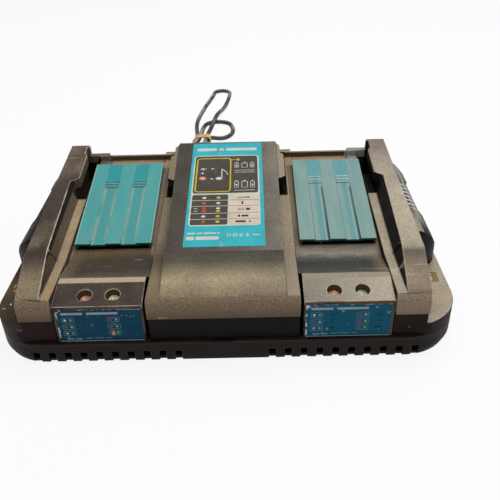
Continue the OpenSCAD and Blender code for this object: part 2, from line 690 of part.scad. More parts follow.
// a round skin of radius r about the points of a route, with level first and last faces
module cord_tube(p, r, first, last) {
  sides = 8;
  rings = [for (i = [0:len(p) - 1])
    let (t = i == 0 ? first : i == len(p) - 1 ? last : heading(p, i),
         u = unit(cross([0, 0, 1], t)), v = cross(t, u))
    [for (j = [0:sides - 1]) let (a = 360 * (j + 0.5) / sides)
      p[i] + r * cos(a) * u + r * sin(a) * v]];
  tube_mesh(rings, sides);
}
CORD_COLOR = [0.13, 0.13, 0.13];
module cord_lead() color(CORD_COLOR) cord_tube(lead_route, cord_d / 2, [0, 1, 0], [0, 1, 0]);
module cord_long_loop() color(CORD_COLOR) cord_tube(long_loop, cord_d / 2, [0, 1, 0], [0, -1, 0]);
module cord_short_loop() color(CORD_COLOR) cord_tube(short_loop, cord_d / 2, [0, 1, 0], [-1, 0, 0]);
module cord_tail() color(CORD_COLOR) cord_tube(tail_route, cord_d / 2, [0, -1, 0], [1, 0, 0]);
hank_x = -40;
hank_y0 = 171;       // flat near end, where the lead and the tail go in
hank_y1 = 308;       // far end, where the loops come out
hank_r = 22;         // the round of the folds at the near end
hank_h = 22.5;       // five strands on each other
fold_y = 247;        // end of the full height
waist_h = 16;
waist_y = 263;       // end of the middle height
neck_y = 278;
neck_w = 19;
neck_h = 12;
tie_y = 279;
tie_w = 6.5;
tie_t = 1.2;
hank_side = [[hank_r, hank_y0 + hank_r - 3], [hank_r, fold_y - 10], [hank_r - 2, fold_y + 3],
             [hank_r - 7, waist_y], [neck_w / 2, neck_y], [neck_w / 2, hank_y1]];
module hank_plan() intersection() {
  union() {
    translate([0, hank_y0 + hank_r - 3]) circle(hank_r);
    polygon([for (p = hank_side) p, for (i = [len(hank_side) - 1:-1:0]) [-hank_side[i][0], hank_side[i][1]]]);
  }
  translate([-hank_r - 1, hank_y0]) square([2 * hank_r + 2, BIG]);
}
module cord_hank() color(CORD_COLOR) translate([hank_x, 0, 0]) difference() {
  linear_extrude(hank_h) hank_plan();
  translate([-BIG / 2, fold_y, waist_h]) cube(BIG);
  translate([-BIG / 2, waist_y, tie_t + neck_h]) cube(BIG);
  translate([-BIG / 2, waist_y, tie_t - BIG]) cube(BIG);
}
module cord_tie() color([0.80, 0.62, 0.25])
  translate([hank_x, tie_y, 0]) along_y(tie_w) translate([0, tie_t + neck_h / 2]) difference() {
    square([neck_w + 2 * tie_t, neck_h + 2 * tie_t], center = true);
    square([neck_w + 0.02, neck_h + 0.02], center = true);
  }
module plug_body() color(BLACK) translate([22, 144, 7]) rotate([0, 90, 0]) {
  cylinder(r1 = 4, r2 = 5, h = 9);
  translate([0, 0, 9]) linear_extrude(28) square([13, 30], center = true);
}
module plug_pins() color(STEEL) for (s = [-1, 1])
  translate([22 + 9 + 28, 144 + s * 9.3, 7]) rotate([0, 90, 0]) cylinder(d = 4, h = 19);

upper_housing();
lower_housing();
lamp_block(-1);  // lamp_block_left
lamp_block(1);  // lamp_block_right
terminal_cover(-1);  // terminal_cover_left
terminal_cover(1);  // terminal_cover_right
cover_spring(-1);  // cover_spring_left
cover_spring(1);  // cover_spring_right
terminal_block(-1);  // terminal_block_left
terminal_block(1);  // terminal_block_right
contact_blades(-1);  // contact_blades_left
contact_blades(1);  // contact_blades_right
lamp_board(-1);  // lamp_board_left
lamp_board(1);  // lamp_board_right
red_lamps();
green_lamps();
main_board();
transformer_core();
transformer_coil();
electrolytic_capacitors();
heat_sinks();
power_transistors();
line_choke();
line_fuse();
buzzer();
fan_frame(-1);  // fan_frame_left
fan_frame(1);  // fan_frame_right
fan_rotor(-1);  // fan_rotor_left
fan_rotor(1);  // fan_rotor_right
housing_screws();
board_screws();
strain_relief();
cord_lead();
cord_hank();
cord_tie();
cord_long_loop();
cord_short_loop();
cord_tail();
plug_body();
plug_pins();
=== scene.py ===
"""Dressing of a two-bay battery charger: cord, bevelled shells, labels, lamps, finishes and studio."""

import json
import math

import bmesh
import bpy
from bpy.props import FloatProperty, FloatVectorProperty, PointerProperty
from bpy.types import Operator, Panel, PropertyGroup
from mathutils import Matrix, Vector

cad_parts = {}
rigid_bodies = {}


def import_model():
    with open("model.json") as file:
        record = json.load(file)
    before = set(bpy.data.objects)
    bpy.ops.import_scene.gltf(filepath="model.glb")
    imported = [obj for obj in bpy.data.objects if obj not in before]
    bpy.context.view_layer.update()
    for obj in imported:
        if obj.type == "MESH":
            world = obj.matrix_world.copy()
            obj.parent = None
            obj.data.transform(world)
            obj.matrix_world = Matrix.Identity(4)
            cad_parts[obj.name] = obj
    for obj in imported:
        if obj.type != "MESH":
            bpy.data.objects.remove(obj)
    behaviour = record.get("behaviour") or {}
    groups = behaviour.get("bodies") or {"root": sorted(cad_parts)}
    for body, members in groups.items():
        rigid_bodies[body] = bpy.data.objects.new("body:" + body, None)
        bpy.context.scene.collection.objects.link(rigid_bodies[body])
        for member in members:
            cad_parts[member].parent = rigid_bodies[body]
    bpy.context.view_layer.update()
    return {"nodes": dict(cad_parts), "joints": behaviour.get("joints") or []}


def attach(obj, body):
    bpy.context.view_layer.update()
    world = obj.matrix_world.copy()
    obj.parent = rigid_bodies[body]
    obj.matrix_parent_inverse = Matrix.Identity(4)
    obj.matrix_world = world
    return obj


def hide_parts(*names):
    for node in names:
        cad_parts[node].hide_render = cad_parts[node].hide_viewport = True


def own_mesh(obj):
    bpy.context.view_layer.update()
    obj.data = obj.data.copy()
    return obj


bl_info = {
    "name": "Two-Bay Battery Charger",
    "version": (1, 0, 0),
    "blender": (4, 5, 0),
    "location": "View3D > Sidebar > Charger",
    "description": "Dresses the charger's frame with its cord, shells, labels, finishes and studio",
    "category": "Add Mesh",
}

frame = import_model()
MM = 0.001
SIDES = ("left", "right")

# Places shared with the solids, in millimetres.
BAY_X = 87.6
TOP_SLOPE = math.radians(8.2)
LAMP_SLOPE = math.radians(12)
COVER_WIDTH = 59.5
LAMP_Y, LAMP_Z = -86.695, 50.748
WELL_DEPTH = 6.5
WELL_PITCH = 19.8
LAMP_FACE_Y = -96.8
REAR_Y, BODY_TOP = 100.0, 85.0
LEDGE_Z = 28.0
CORD_EXIT = (-44, 132, 17)

# Edges of the upper housing's zones, in millimetres out from its middle.
HUMP_SIDE = 44.0
BAY_INNER, BAY_OUTER = 53.6, 119.5
ARM_SIDE = 126.5
FENDER_SIDE = 148.3
# Each arm's lip, in millimetres: where it bends, and how steeply it rises behind and before the bend.
BEND_Y, BEND_Z = -52.5, 63.0
LIP_SLOPES = (0.141, 0.1895)
# How far from the middle, in millimetres, one half's look has changed to the other's.
BLEND = 20.0

# The labels' middles and flat sizes, in millimetres.
FRONT_LABEL_X, FRONT_LABEL_Z = 87.3, 31.5
FRONT_LABEL_SIZE = (60.0, 28.4)
TOP_LABEL_Y = 20.0
TOP_LABEL_SIZE = (61.6, 143.9)

# The plug's body, in metres, and the steps of its neck: how long each is, and its share of the last width.
PLUG_MIDDLE = (0.045, 0.144, 0.007)
PLUG_SIZE = (0.028, 0.030, 0.013)
NECK_STEP = 0.003
NECK_SHARES = (0.80, 0.70, 0.75)

# What counts as one point, as flat and as smooth on a copied shell.
WELD_DISTANCE = 2e-6
FLAT_ANGLE = math.radians(0.4)
SMOOTH_ANGLE = math.radians(32)

# Where the camera stands, in metres, and its yaw, pitch and roll, in degrees.
CAMERA_PLACE = (0.0224, -0.4397, 0.3147)
CAMERA_TURN = (-0.48, 32.99, -1.5)


def tone(colour):
    """A hex colour as linear red, green and blue; other colours stay as they are."""
    if not isinstance(colour, str):
        return tuple(colour)
    channels = [int(colour[i:i + 2], 16) / 255 for i in (1, 3, 5)]
    return tuple(c / 12.92 if c <= 0.04045 else ((c + 0.055) / 1.055) ** 2.4 for c in channels)


def colour_setting(name, description, code):
    return FloatVectorProperty(name=name, description=description, subtype="COLOR",
                               size=3, min=0.0, max=1.0, default=tone(code))


def length_setting(name, description, millimetres):
    return FloatProperty(name=name, description=description, subtype="DISTANCE",
                         unit="LENGTH", min=0.0, default=millimetres * MM)


class ChargerSizes(PropertyGroup):
    """Sizes of what is added to the frame."""
    shell_edge: length_setting("Shell edge", "Width of the worn bevel along the housings' edges", 0.55)
    cover_edge: length_setting("Cover edge", "Width of the bevel along the terminal covers' edges", 0.25)
    cord_diameter: length_setting("Cord diameter", "Outer diameter of the mains cord", 5.5)
    film: length_setting("Label film", "Thickness of the label film", 0.12)
    ink: length_setting("Label ink", "Height of each printed layer on a label", 0.04)
    lens_radius: length_setting("Lens radius", "Radius of an indicator lens in its well", 3.9)
    band: length_setting("Tie band", "Thickness of the band that ties the cord", 2.3)


class ChargerColours(PropertyGroup):
    """Colours of the charger's own pieces."""
    shell: colour_setting("Shell", "Moulded plastic of the upper housing", "#15110f")
    shell_lifted: colour_setting("Shell, handled", "Shell plastic where it is rubbed lighter", "#26201c")
    # the worn-edge colour is also a painted highlight along the arms' lips
    edge: colour_setting("Worn edge", "Bare plastic along rubbed edges", "#d6cab8")
    tray: colour_setting("Tray", "Plastic of the lower housing", "#0e0a09")
    cover: colour_setting("Cover", "Teal plastic of the left terminal cover", "#49a6a6")
    cover_groove: colour_setting("Cover groove", "Teal in the left cover's grooves", "#46a0a2")
    cover_faded: colour_setting("Faded cover", "Rubbed teal of the right terminal cover", "#719c97")
    groove_faded: colour_setting("Faded groove", "Teal in the right cover's grooves", "#5c9799")
    front_label: colour_setting("Front label", "Film of the labels on the front blocks", "#063f57")
    top_label: colour_setting("Top label", "Film of the label on the hump", "#42bec9")
    red_lens: colour_setting("Red lens", "Left indicator of each bay", "#cb957d")
    green_lens: colour_setting("Green lens", "Right indicator of each bay", "#a8b898")
    cord: colour_setting("Cord", "Outer jacket of the mains cord", "#2a2a2b")
    tie: colour_setting("Tie", "Band round the cord's hank", "#efcd8b")


class ChargerStudio(PropertyGroup):
    """Camera and light."""
    lens: FloatProperty(name="Lens", description="Focal length of the camera, in millimetres",
                        default=45.26, min=1.0)
    key_power: FloatProperty(name="Key power", description="Power of the large light above, in watts",
                             default=9.5, min=0.0)
    fill_power: FloatProperty(name="Fill power", description="Power of the front light, in watts",
                              default=1.2, min=0.0)
    sky: FloatProperty(name="Sky", description="Strength of the even light from all sides",
                       default=0.42, min=0.0)
    shadow: FloatProperty(name="Shadow", description="How much of the shadow the floor shows",
                          subtype="FACTOR", default=0.12, min=0.0, max=1.0)


# ---- finishes ----

class Finish:
    """A procedural material, put together node by node on Object coordinates."""

    def __init__(self, name, **sockets):
        self.material = bpy.data.materials.new(name)
        self.material.use_nodes = True
        self.nodes = self.material.node_tree.nodes
        self.links = self.material.node_tree.links
        self.shader = self.nodes["Principled BSDF"]
        self.place = self.node("TexCoord").outputs["Object"]
        for socket, value in sockets.items():
            self.shader.inputs[socket.replace("_", " ")].default_value = value

    def node(self, kind, inputs=(), **settings):
        node = self.nodes.new("ShaderNode" + kind)
        for key, value in settings.items():
            setattr(node, key, value)
        for slot, value in dict(inputs).items():
            self.feed(node.inputs[slot], value)
        return node

    def feed(self, socket, value):
        if isinstance(value, bpy.types.NodeSocket):
            self.links.new(value, socket)
        elif socket.type == "RGBA":
            socket.default_value = (*tone(value), 1.0)
        else:
            socket.default_value = value

    def noise(self, scale, detail=3.0, stretch=(1, 1, 1), shift=(0, 0, 0)):
        spot = self.node("Mapping", {"Vector": self.place, "Scale": stretch, "Location": shift})
        return self.node("TexNoise", {"Vector": spot.outputs[0], "Scale": scale, "Detail": detail,
                                      "Roughness": 0.55}).outputs["Fac"]

    def specks(self, scale, size):
        """Small round spots, sparse and of uneven strength."""
        cells = self.node("TexVoronoi", {"Vector": self.place, "Scale": scale})
        spot = self.fade(cells.outputs["Distance"], size, size * 0.5)
        return self.times(spot, self.fade(self.split(cells.outputs["Color"])[0], 0.78, 0.95))

    def split(self, vector):
        return self.node("SeparateXYZ", {0: vector}).outputs[:3]

    def normal(self):
        """How far a face looks right, back and up, each from -1 to 1."""
        return self.split(self.node("NewGeometry").outputs["Normal"])

    def fade(self, value, low, high, to_low=0.0, to_high=1.0):
        return self.node("MapRange", {"Value": value, "From Min": low, "From Max": high,
                                      "To Min": to_low, "To Max": to_high},
                         interpolation_type="SMOOTHSTEP").outputs[0]

    def step(self, place, low, high, to_low=0.0, to_high=1.0):
        """A fade between two places, in millimetres."""
        return self.fade(place, low * MM, high * MM, to_low, to_high)

    def band(self, place, low, high, soft=0.5):
        """1 between two places in millimetres, and 0 outside."""
        return self.times(self.step(place, low - soft, low + soft),
                          self.step(place, high - soft, high + soft, 1.0, 0.0))

    def math(self, how, a, b=0.0):
        return self.node("Math", {0: a, 1: b}, operation=how).outputs[0]

    def times(self, *values):
        result = values[0]
        for value in values[1:]:
            result = self.math("MULTIPLY", result, value)
        return result

    def plus(self, *values):
        result = values[0]
        for value in values[1:]:
            result = self.math("ADD", result, value)
        return self.node("Clamp", {0: result}).outputs[0]

    def ramp(self, place, *stops):
        """Colours along a place, each at its own millimetre, from the first stop to the last."""
        low, high = stops[0][0], stops[-1][0]
        spot = self.node("MapRange", {"Value": place, "From Min": low * MM, "From Max": high * MM}).outputs[0]
        node = self.node("ValToRGB", {0: spot})
        elements = node.color_ramp.elements
        for _ in stops[2:]:
            elements.new(0.5)
        for element, (stop, code) in zip(elements, stops):
            element.position, element.color = (stop - low) / (high - low), (*tone(code), 1.0)
        return node.outputs[0]

    def mix(self, factor, a, b, how="MIX"):
        return self.node("Mix", {0: factor, 6: a, 7: b}, data_type="RGBA", blend_type=how).outputs[2]

    def coat(self, under, colour, *masks):
        """Lays a colour over another where all the masks are on."""
        return self.mix(self.times(*masks), under, colour)

    def bump(self, height, distance, strength=1.0):
        before = self.shader.inputs["Normal"]
        node = self.node("Bump", {"Height": height, "Distance": distance, "Strength": strength})
        if before.is_linked:
            self.links.new(before.links[0].from_socket, node.inputs["Normal"])
        self.links.new(node.outputs[0], before)

    def done(self, colour, roughness):
        self.feed(self.shader.inputs["Base Color"], colour)
        self.feed(self.shader.inputs["Roughness"], roughness)
        return self.material


class Plastic(Finish):
    """A grained moulded plastic, with the directions that its dust and wear follow."""

    def __init__(self, name, gloss=0.12, grain=1000):
        super().__init__(name, Specular_IOR_Level=gloss)
        self.x, self.y, self.z = self.split(self.place)
        self.out = self.math("ABSOLUTE", self.x)
        self.right = self.step(self.x, -BLEND, BLEND)
        self.left = self.step(self.x, BLEND, -BLEND)
        self.facing = self.normal()
        self.up = self.facing[2]
        self.grain = self.noise(grain, 2)

    def beyond(self, edge):
        """1 further out from the middle than an edge, and 0 further in."""
        return self.step(self.out, edge - 0.3, edge + 0.3)

    def inside(self, edge):
        return self.step(self.out, edge + 0.3, edge - 0.3)

    def speckled(self, colour, low, high):
        """Breaks a colour up with a fine light and dark grain."""
        level = self.fade(self.grain, 0.30, 0.70, low, high)
        shade = self.node("CombineXYZ", {0: level, 1: level, 2: level}).outputs[0]
        return self.mix(1.0, colour, shade, "MULTIPLY")


def shell_walls(f, colour):
    """The left arm's inner wall, and the walls below the ledges and aprons, near black: partly their own
    plastic, partly painted shade.
    """
    low = f.times(f.step(f.z, 39, 37.5), f.plus(f.step(f.y, -93.5, -95), f.step(f.z, 27.5, 26.5)))
    wall = f.times(f.band(f.out, 119, 130), f.left, f.fade(f.up, 0.9, 0.7), f.step(f.y, 98.5, 97.5))
    colour = f.coat(colour, f.ramp(f.y, (-80, "#4a3e33"), (-20, "#6d604f")), wall, 0.8)
    # near black below the ledges and aprons: the plastic's own black, darkened further by painted shade under
    # them
    return f.mix(low, colour, f.mix(f.step(f.out, 60, 120), "#0c0606", "#190a07"))


def shell_ledges(f, colour):
    """Dust on the side ledges and on the rails beside the bays."""
    ledge = f.ramp(f.y, (-100, "#635645"), (-86, "#463a30"), (-45, "#6a5b47"), (-20, "#4b4138"))
    colour = f.coat(colour, f.mix(f.right, ledge, "#bfaf99"), f.lies, f.beyond(HUMP_SIDE),
                    f.fade(f.blotch, 0.26, 0.66, 0.75, 1.0), f.step(f.z, 40, 30))
    rightwards = f.step(f.x, -60, 100)
    inner = f.ramp(f.y, (-100, "#806d58"), (-75, "#907e65"), (-50, "#5f5443"), (-20, "#8b7d65"))
    colour = f.coat(colour, f.mix(rightwards, inner, "#a99a83"), f.band(f.out, 44.3, 53.3), f.lies)
    outer = f.band(f.out, 119.7, 126.2)
    colour = f.coat(colour, f.mix(rightwards, "#b69e7e", "#bbad97"), outer, f.lies, f.patchy)
    return f.coat(colour, "#cf9c68", outer, f.band(f.y, -88, -77, 3), f.left,
                  f.fade(f.grain, 0.35, 0.55), 0.45)


def shell_hump(f, colour):
    """Dust on the hump: thin over its flat top, thick on the nose, with a painted highlight across the nose's
    middle.
    """
    top = f.ramp(f.x, (-35, "#554f48"), (28, "#767066"), (42, "#8a8276"))
    # the nose's ramp is dust, lightest across its middle as a painted highlight
    nose = f.ramp(f.y, (-100, "#907f67"), (-81, "#b8a888"), (-63, "#655d50"), (-50, "#524d46"))
    nose = f.mix(f.step(f.x, -10, 45), nose, f.mix(1.0, nose, (0.87, 0.88, 0.92), "MULTIPLY"))
    return f.coat(colour, f.mix(f.step(f.y, -53, -52), nose, top),
                  f.lies, f.patchy, f.inside(HUMP_SIDE))


def shell_arms(f, colour):
    """Dust on the arms: streaked and dark on the left one, pale on the right one, with a painted highlight
    across their front slopes and painted shade towards the bend.
    """
    arm = f.times(f.beyond(ARM_SIDE), f.step(f.z, 48, 52))
    # both ramps are dust, lighter across the front slope as a painted highlight and darker towards the bend
    # as painted shade
    left = f.ramp(f.y, (-100, "#8a7961"), (-79, "#a49378"), (-61, "#615346"), (-51, "#493f37"),
                  (100, "#584e44"))
    right = f.ramp(f.y, (-100, "#917f69"), (-79, "#a5947d"), (-56, "#766c5f"), (-51, "#beb09b"),
                   (15, "#c7b8a3"), (100, "#887f74"))
    streaks = f.fade(f.noise(30, 4, stretch=(1.0, 0.4, 1.0)), 0.52, 0.68)
    left = f.coat(left, "#8d7e6b", streaks, f.step(f.y, -50, -40), 0.6)
    return f.coat(colour, f.mix(f.right, left, right), f.lies, f.patchy, arm)


def shell_aprons(f, colour):
    """The aprons carry the dust on down to their lower edge, darker towards it with painted shade."""
    apron = f.times(f.step(f.y, -96, -97), f.step(f.z, 37.6, 38.4), f.step(f.z, 60, 57))
    # dust, darkening towards the lower edge as painted shade
    shade = f.ramp(f.z, (38, "#5e4e40"), (50, "#816f5b"), (55, "#8a7963"))
    shade = f.mix(f.step(f.x, 50, 120, 0.0, 0.25), shade, "#b5a594")
    return f.coat(colour, shade, apron, f.fade(f.blotch, 0.2, 0.5, 0.8, 1.0))


def shell_fenders(f, colour):
    """Dark fenders, the right one with a dusty strip, a painted gleam on its crest and painted highlights on
    its fins' edges.
    """
    fender = f.times(f.beyond(FENDER_SIDE), f.step(f.z, 29, 30), f.step(f.y, -60, -45))
    strip = f.times(f.band(f.x, 148, 153), f.fade(f.up, 0.7, 0.9), f.step(f.y, 20, -20))
    # painted reflection along the right fender's crest
    gleam = f.times(f.step(f.x, 150, 156), f.fade(f.up, 0.60, 0.90),
                    f.plus(f.step(f.y, -24, 0, 0.0, 0.85), f.band(f.y, 74, 110, 6)))
    # painted highlights: pale slanted lines on the edges of the fins
    slanted = f.math("FLOORED_MODULO", f.math("ADD", f.y, f.z), 0.007)
    fins = f.times(f.step(slanted, 4.0, 4.4), f.band(f.y, 6, 52, 2), f.fade(f.up, 0.60, 0.85))
    shade = f.coat("#121214", "#a89885", strip, 0.9)
    shade = f.mix(f.math("MAXIMUM", gleam, f.times(fins, f.step(f.x, 20, 100))), shade, "#c9c9c5")
    return f.mix(fender, colour, shade)


def shell_bays(f, colour):
    """Bays: brown floor, dust before the ramp with a painted patch of light in the right bay, dark glossy
    ramp, and painted shadow in front of and under the covers.
    """
    bay = f.band(f.out, BAY_INNER, BAY_OUTER, 0.6)
    along = f.math("ADD", f.y, f.times(f.math("SUBTRACT", f.blotch, 0.5), 0.016))
    # along the bay: dust and the dark ramp, with a painted patch of light in the right bay's dust, and darker
    # just in front of the covers as painted shadow
    shade = f.mix(f.right,
                  f.ramp(along, (-75, "#645849"), (-56, "#453e36"), (-38, "#4c4336"), (-29, "#6a5942"),
                         (-20, "#443523")),
                  f.ramp(along, (-75, "#54534e"), (-50, "#3c3c3a"), (-42, "#57544b"), (-36, "#958c7e"),
                         (-20, "#3d3224")))
    from_middle = f.math("SUBTRACT", f.out, BAY_X * MM)
    off_middle = f.math("ABSOLUTE", from_middle)
    warm = f.mix(f.step(from_middle, 18, 34), shade, "#85765f")
    shade = f.mix(f.step(f.x, -BLEND, BLEND, 0.6, 0.9), shade, warm)
    shade = f.coat(shade, "#8f7e66", f.step(off_middle, 29.4, 30.6), f.step(f.y, -40, -30),
                   f.fade(f.blotch, 0.25, 0.6, 0.6, 1.0))
    floor = f.times(bay, f.fade(f.up, 0.6, 0.8), f.step(f.y, -75, -70), f.step(f.z, 74, 72))
    f.swept = f.times(floor, f.step(along, -42, -48))
    # painted shadow: near black on the floor under the covers
    return f.coat(f.mix(floor, colour, shade), "#0a0908", f.step(f.y, -27.2, -26.2),
                  f.fade(f.up, 0.5, 0.8), f.step(f.y, 80, 78), f.step(off_middle, 29.2, 28.2), bay)


def shell_rear(f, colour):
    """Dust on the rims behind the bays, and painted shade in the pockets under the overhangs."""
    rear = f.times(f.step(f.out, 50, 51), f.step(f.out, 126, 125), f.band(f.y, 79.5, 98.8),
                   f.step(f.z, 60, 62))
    rim = f.mix(f.step(f.z, 76.8, 77.5), "#a68d6e", "#1b1714")
    shade = f.mix(f.fade(f.up, 0.5, 0.8), "#55452f", rim)
    shade = f.mix(f.step(f.out, 107, 107.6), shade, f.mix(f.right, "#70665a", "#9a958e"))
    colour = f.mix(rear, colour, shade)
    # painted shade: near black in the pockets under the overhangs
    pocket = f.plus(f.band(f.out, 44, 50.5, 0.4), f.band(f.out, 120, 130, 0.4))
    return f.coat(colour, "#12100e", pocket, f.step(f.y, 30, 36), f.step(f.z, 70, 66),
                  f.step(f.z, 40, 45), 0.9)


def shell_edges(f, colour, bare):
    """Bare plastic along rubbed edges, brightest on the lips of the arms, where it is also a painted
    highlight.
    """
    patch_mask = f.fade(f.noise(65, 4, shift=(0.7, 0.2, 0.1)), 0.34, 0.62, 0.25, 1.0)
    from_bend = f.math("SUBTRACT", f.y, BEND_Y * MM)
    rise = f.math("MINIMUM", *(f.times(from_bend, slope) for slope in LIP_SLOPES))
    above_lip = f.math("SUBTRACT", f.z, f.math("ADD", rise, BEND_Z * MM))
    lip = f.times(f.band(f.out, 125.8, 137.5, 0.8), f.fade(f.up, 0.1, 0.3),
                  f.step(above_lip, -2.4, -1.6))
    wall = f.times(f.band(f.out, 125.2, 138, 0.4), f.step(above_lip, -1.6, -2.4))
    spared = f.plus(f.plus(f.band(f.out, 120, 125.7, 0.2), f.beyond(FENDER_SIDE)), wall)
    # on the lips, most on the left one, the bare colour is also a painted highlight
    strength = f.plus(f.fade(spared, 0.0, 1.0, 0.22, 0.0),
                      f.times(lip, f.step(f.x, 50, -50, 0.25, 0.85)))
    return f.coat(colour, bare, patch_mask, strength, f.fade(f.up, 0.1, 0.3), f.step(f.z, 20, 30))


def shell_finish(name, paint, worn):
    """Dusty moulded shell: black where it stands, tan where dust lies, glossy on the ramps."""
    f = Plastic(name)
    f.blotch = f.noise(42, 4)
    f.lies = f.fade(f.up, 0.45, 0.93)
    f.patchy = f.fade(f.blotch, 0.26, 0.66, 0.72, 1.0)
    cloud = f.noise(13, 3, shift=(3.1, 1.7, 0.4))
    colour = f.mix(f.fade(cloud, 0.35, 0.68), paint.shell, paint.shell_lifted)
    for zone in (shell_walls, shell_ledges, shell_hump, shell_arms, shell_aprons, shell_fenders,
                 shell_bays, shell_rear):
        colour = zone(f, colour)
    colour = f.speckled(colour, 0.72, 1.26)
    if worn:
        colour = shell_edges(f, colour, paint.edge)
    colour = f.coat(colour, "#c9bda8", f.specks(160, 0.10), 0.6)
    scratch = f.fade(f.noise(110, 2, stretch=(0.12, 1.0, 1.0), shift=(0.3, 0, 0)), 0.70, 0.735)
    colour = f.coat(colour, paint.edge, scratch, 0.3)
    f.bump(f.grain, 0.00030, 0.7)
    rough = f.fade(f.blotch, 0.3, 0.7, 0.50, 0.64)
    return f.done(colour, f.math("SUBTRACT", rough, f.times(f.swept, 0.30)))


def tray_finish(name, paint, worn):
    """Lower housing: nearly black, brown at the front, with dust on its upper edge and painted shade inside
    the comb's slots.
    """
    f = Plastic(name)
    blotch = f.noise(55, 4)
    colour = f.mix(f.fade(blotch, 0.35, 0.7), paint.tray, "#191514")
    colour = f.coat(colour, "#211b18", f.step(f.y, -85, -97), 0.7)
    colour = f.coat(colour, "#4a3d32", f.step(f.z, 15, 16.5), f.fade(blotch, 0.35, 0.6), 0.35)
    colour = f.speckled(colour, 0.80, 1.20)
    # painted shade: near black inside the slots at the front
    colour = f.coat(colour, "#0b0908", f.step(f.y, -99.5, -98.5), f.step(f.z, 12.5, 11.5),
                    f.step(f.y, -90, -94))
    if worn:
        patch_mask = f.fade(f.noise(65, 4, shift=(0.7, 0.2, 0.1)), 0.42, 0.68, 0.03, 0.2)
        colour = f.mix(patch_mask, colour, "#5c5045")
    f.bump(f.grain, 0.00025, 0.6)
    return f.done(colour, f.fade(blotch, 0.3, 0.7, 0.46, 0.6))


def block_finish(name, paint, worn):
    """Front block: dark handled face on the left, dusty on the right, khaki strip behind the wells, lighter
    on the left as a painted highlight.
    """
    f = Plastic(name)
    blotch = f.noise(60, 4)
    sideways = f.math("ABSOLUTE", f.facing[0])
    colour = f.mix(f.fade(blotch, 0.35, 0.7), "#463d37", "#574c43")
    dusty = f.ramp(f.x, (55, "#8f887b"), (87, "#a69d8e"), (120, "#c0b4a1"))
    colour = f.coat(colour, dusty, f.right, f.fade(f.up, 0.5, 0.95))
    # the khaki strip; on the left it is lighter, as a painted highlight
    colour = f.coat(colour, f.mix(f.right, "#c4b393", "#a0967f"), f.step(f.y, -75.8, -75),
                    f.fade(f.up, 0.9, 0.98), 0.95)
    colour = f.coat(colour, "#17110f", f.fade(sideways, 0.8, 0.9), f.step(f.y, -94, -90), 0.95)
    around_label = f.mix(f.fade(blotch, 0.35, 0.6), "#241917", "#5d4a38")
    colour = f.coat(colour, around_label, f.step(f.z, 48.5, 47), f.step(f.y, -95.5, -96.2))
    well = f.ramp(f.z, (44, "#8a6d4e"), (52, "#4a3826"))
    colour = f.coat(colour, well, f.band(f.y, -94.5, -78.5), f.fade(f.up, 0.8, 0.6),
                    f.fade(sideways, 0.995, 0.985))
    colour = f.speckled(colour, 0.80, 1.20)
    if worn:
        patch_mask = f.fade(f.noise(65, 4, shift=(0.2, 0.5, 0.1)), 0.34, 0.6, 0.2, 0.8)
        colour = f.coat(colour, paint.edge, patch_mask, f.step(f.z, 45.5, 47))
    colour = f.coat(colour, "#d8cfc0", f.specks(200, 0.12), 0.7)
    f.bump(f.grain, 0.00028, 0.7)
    return f.done(colour, f.fade(blotch, 0.3, 0.7, 0.44, 0.6))


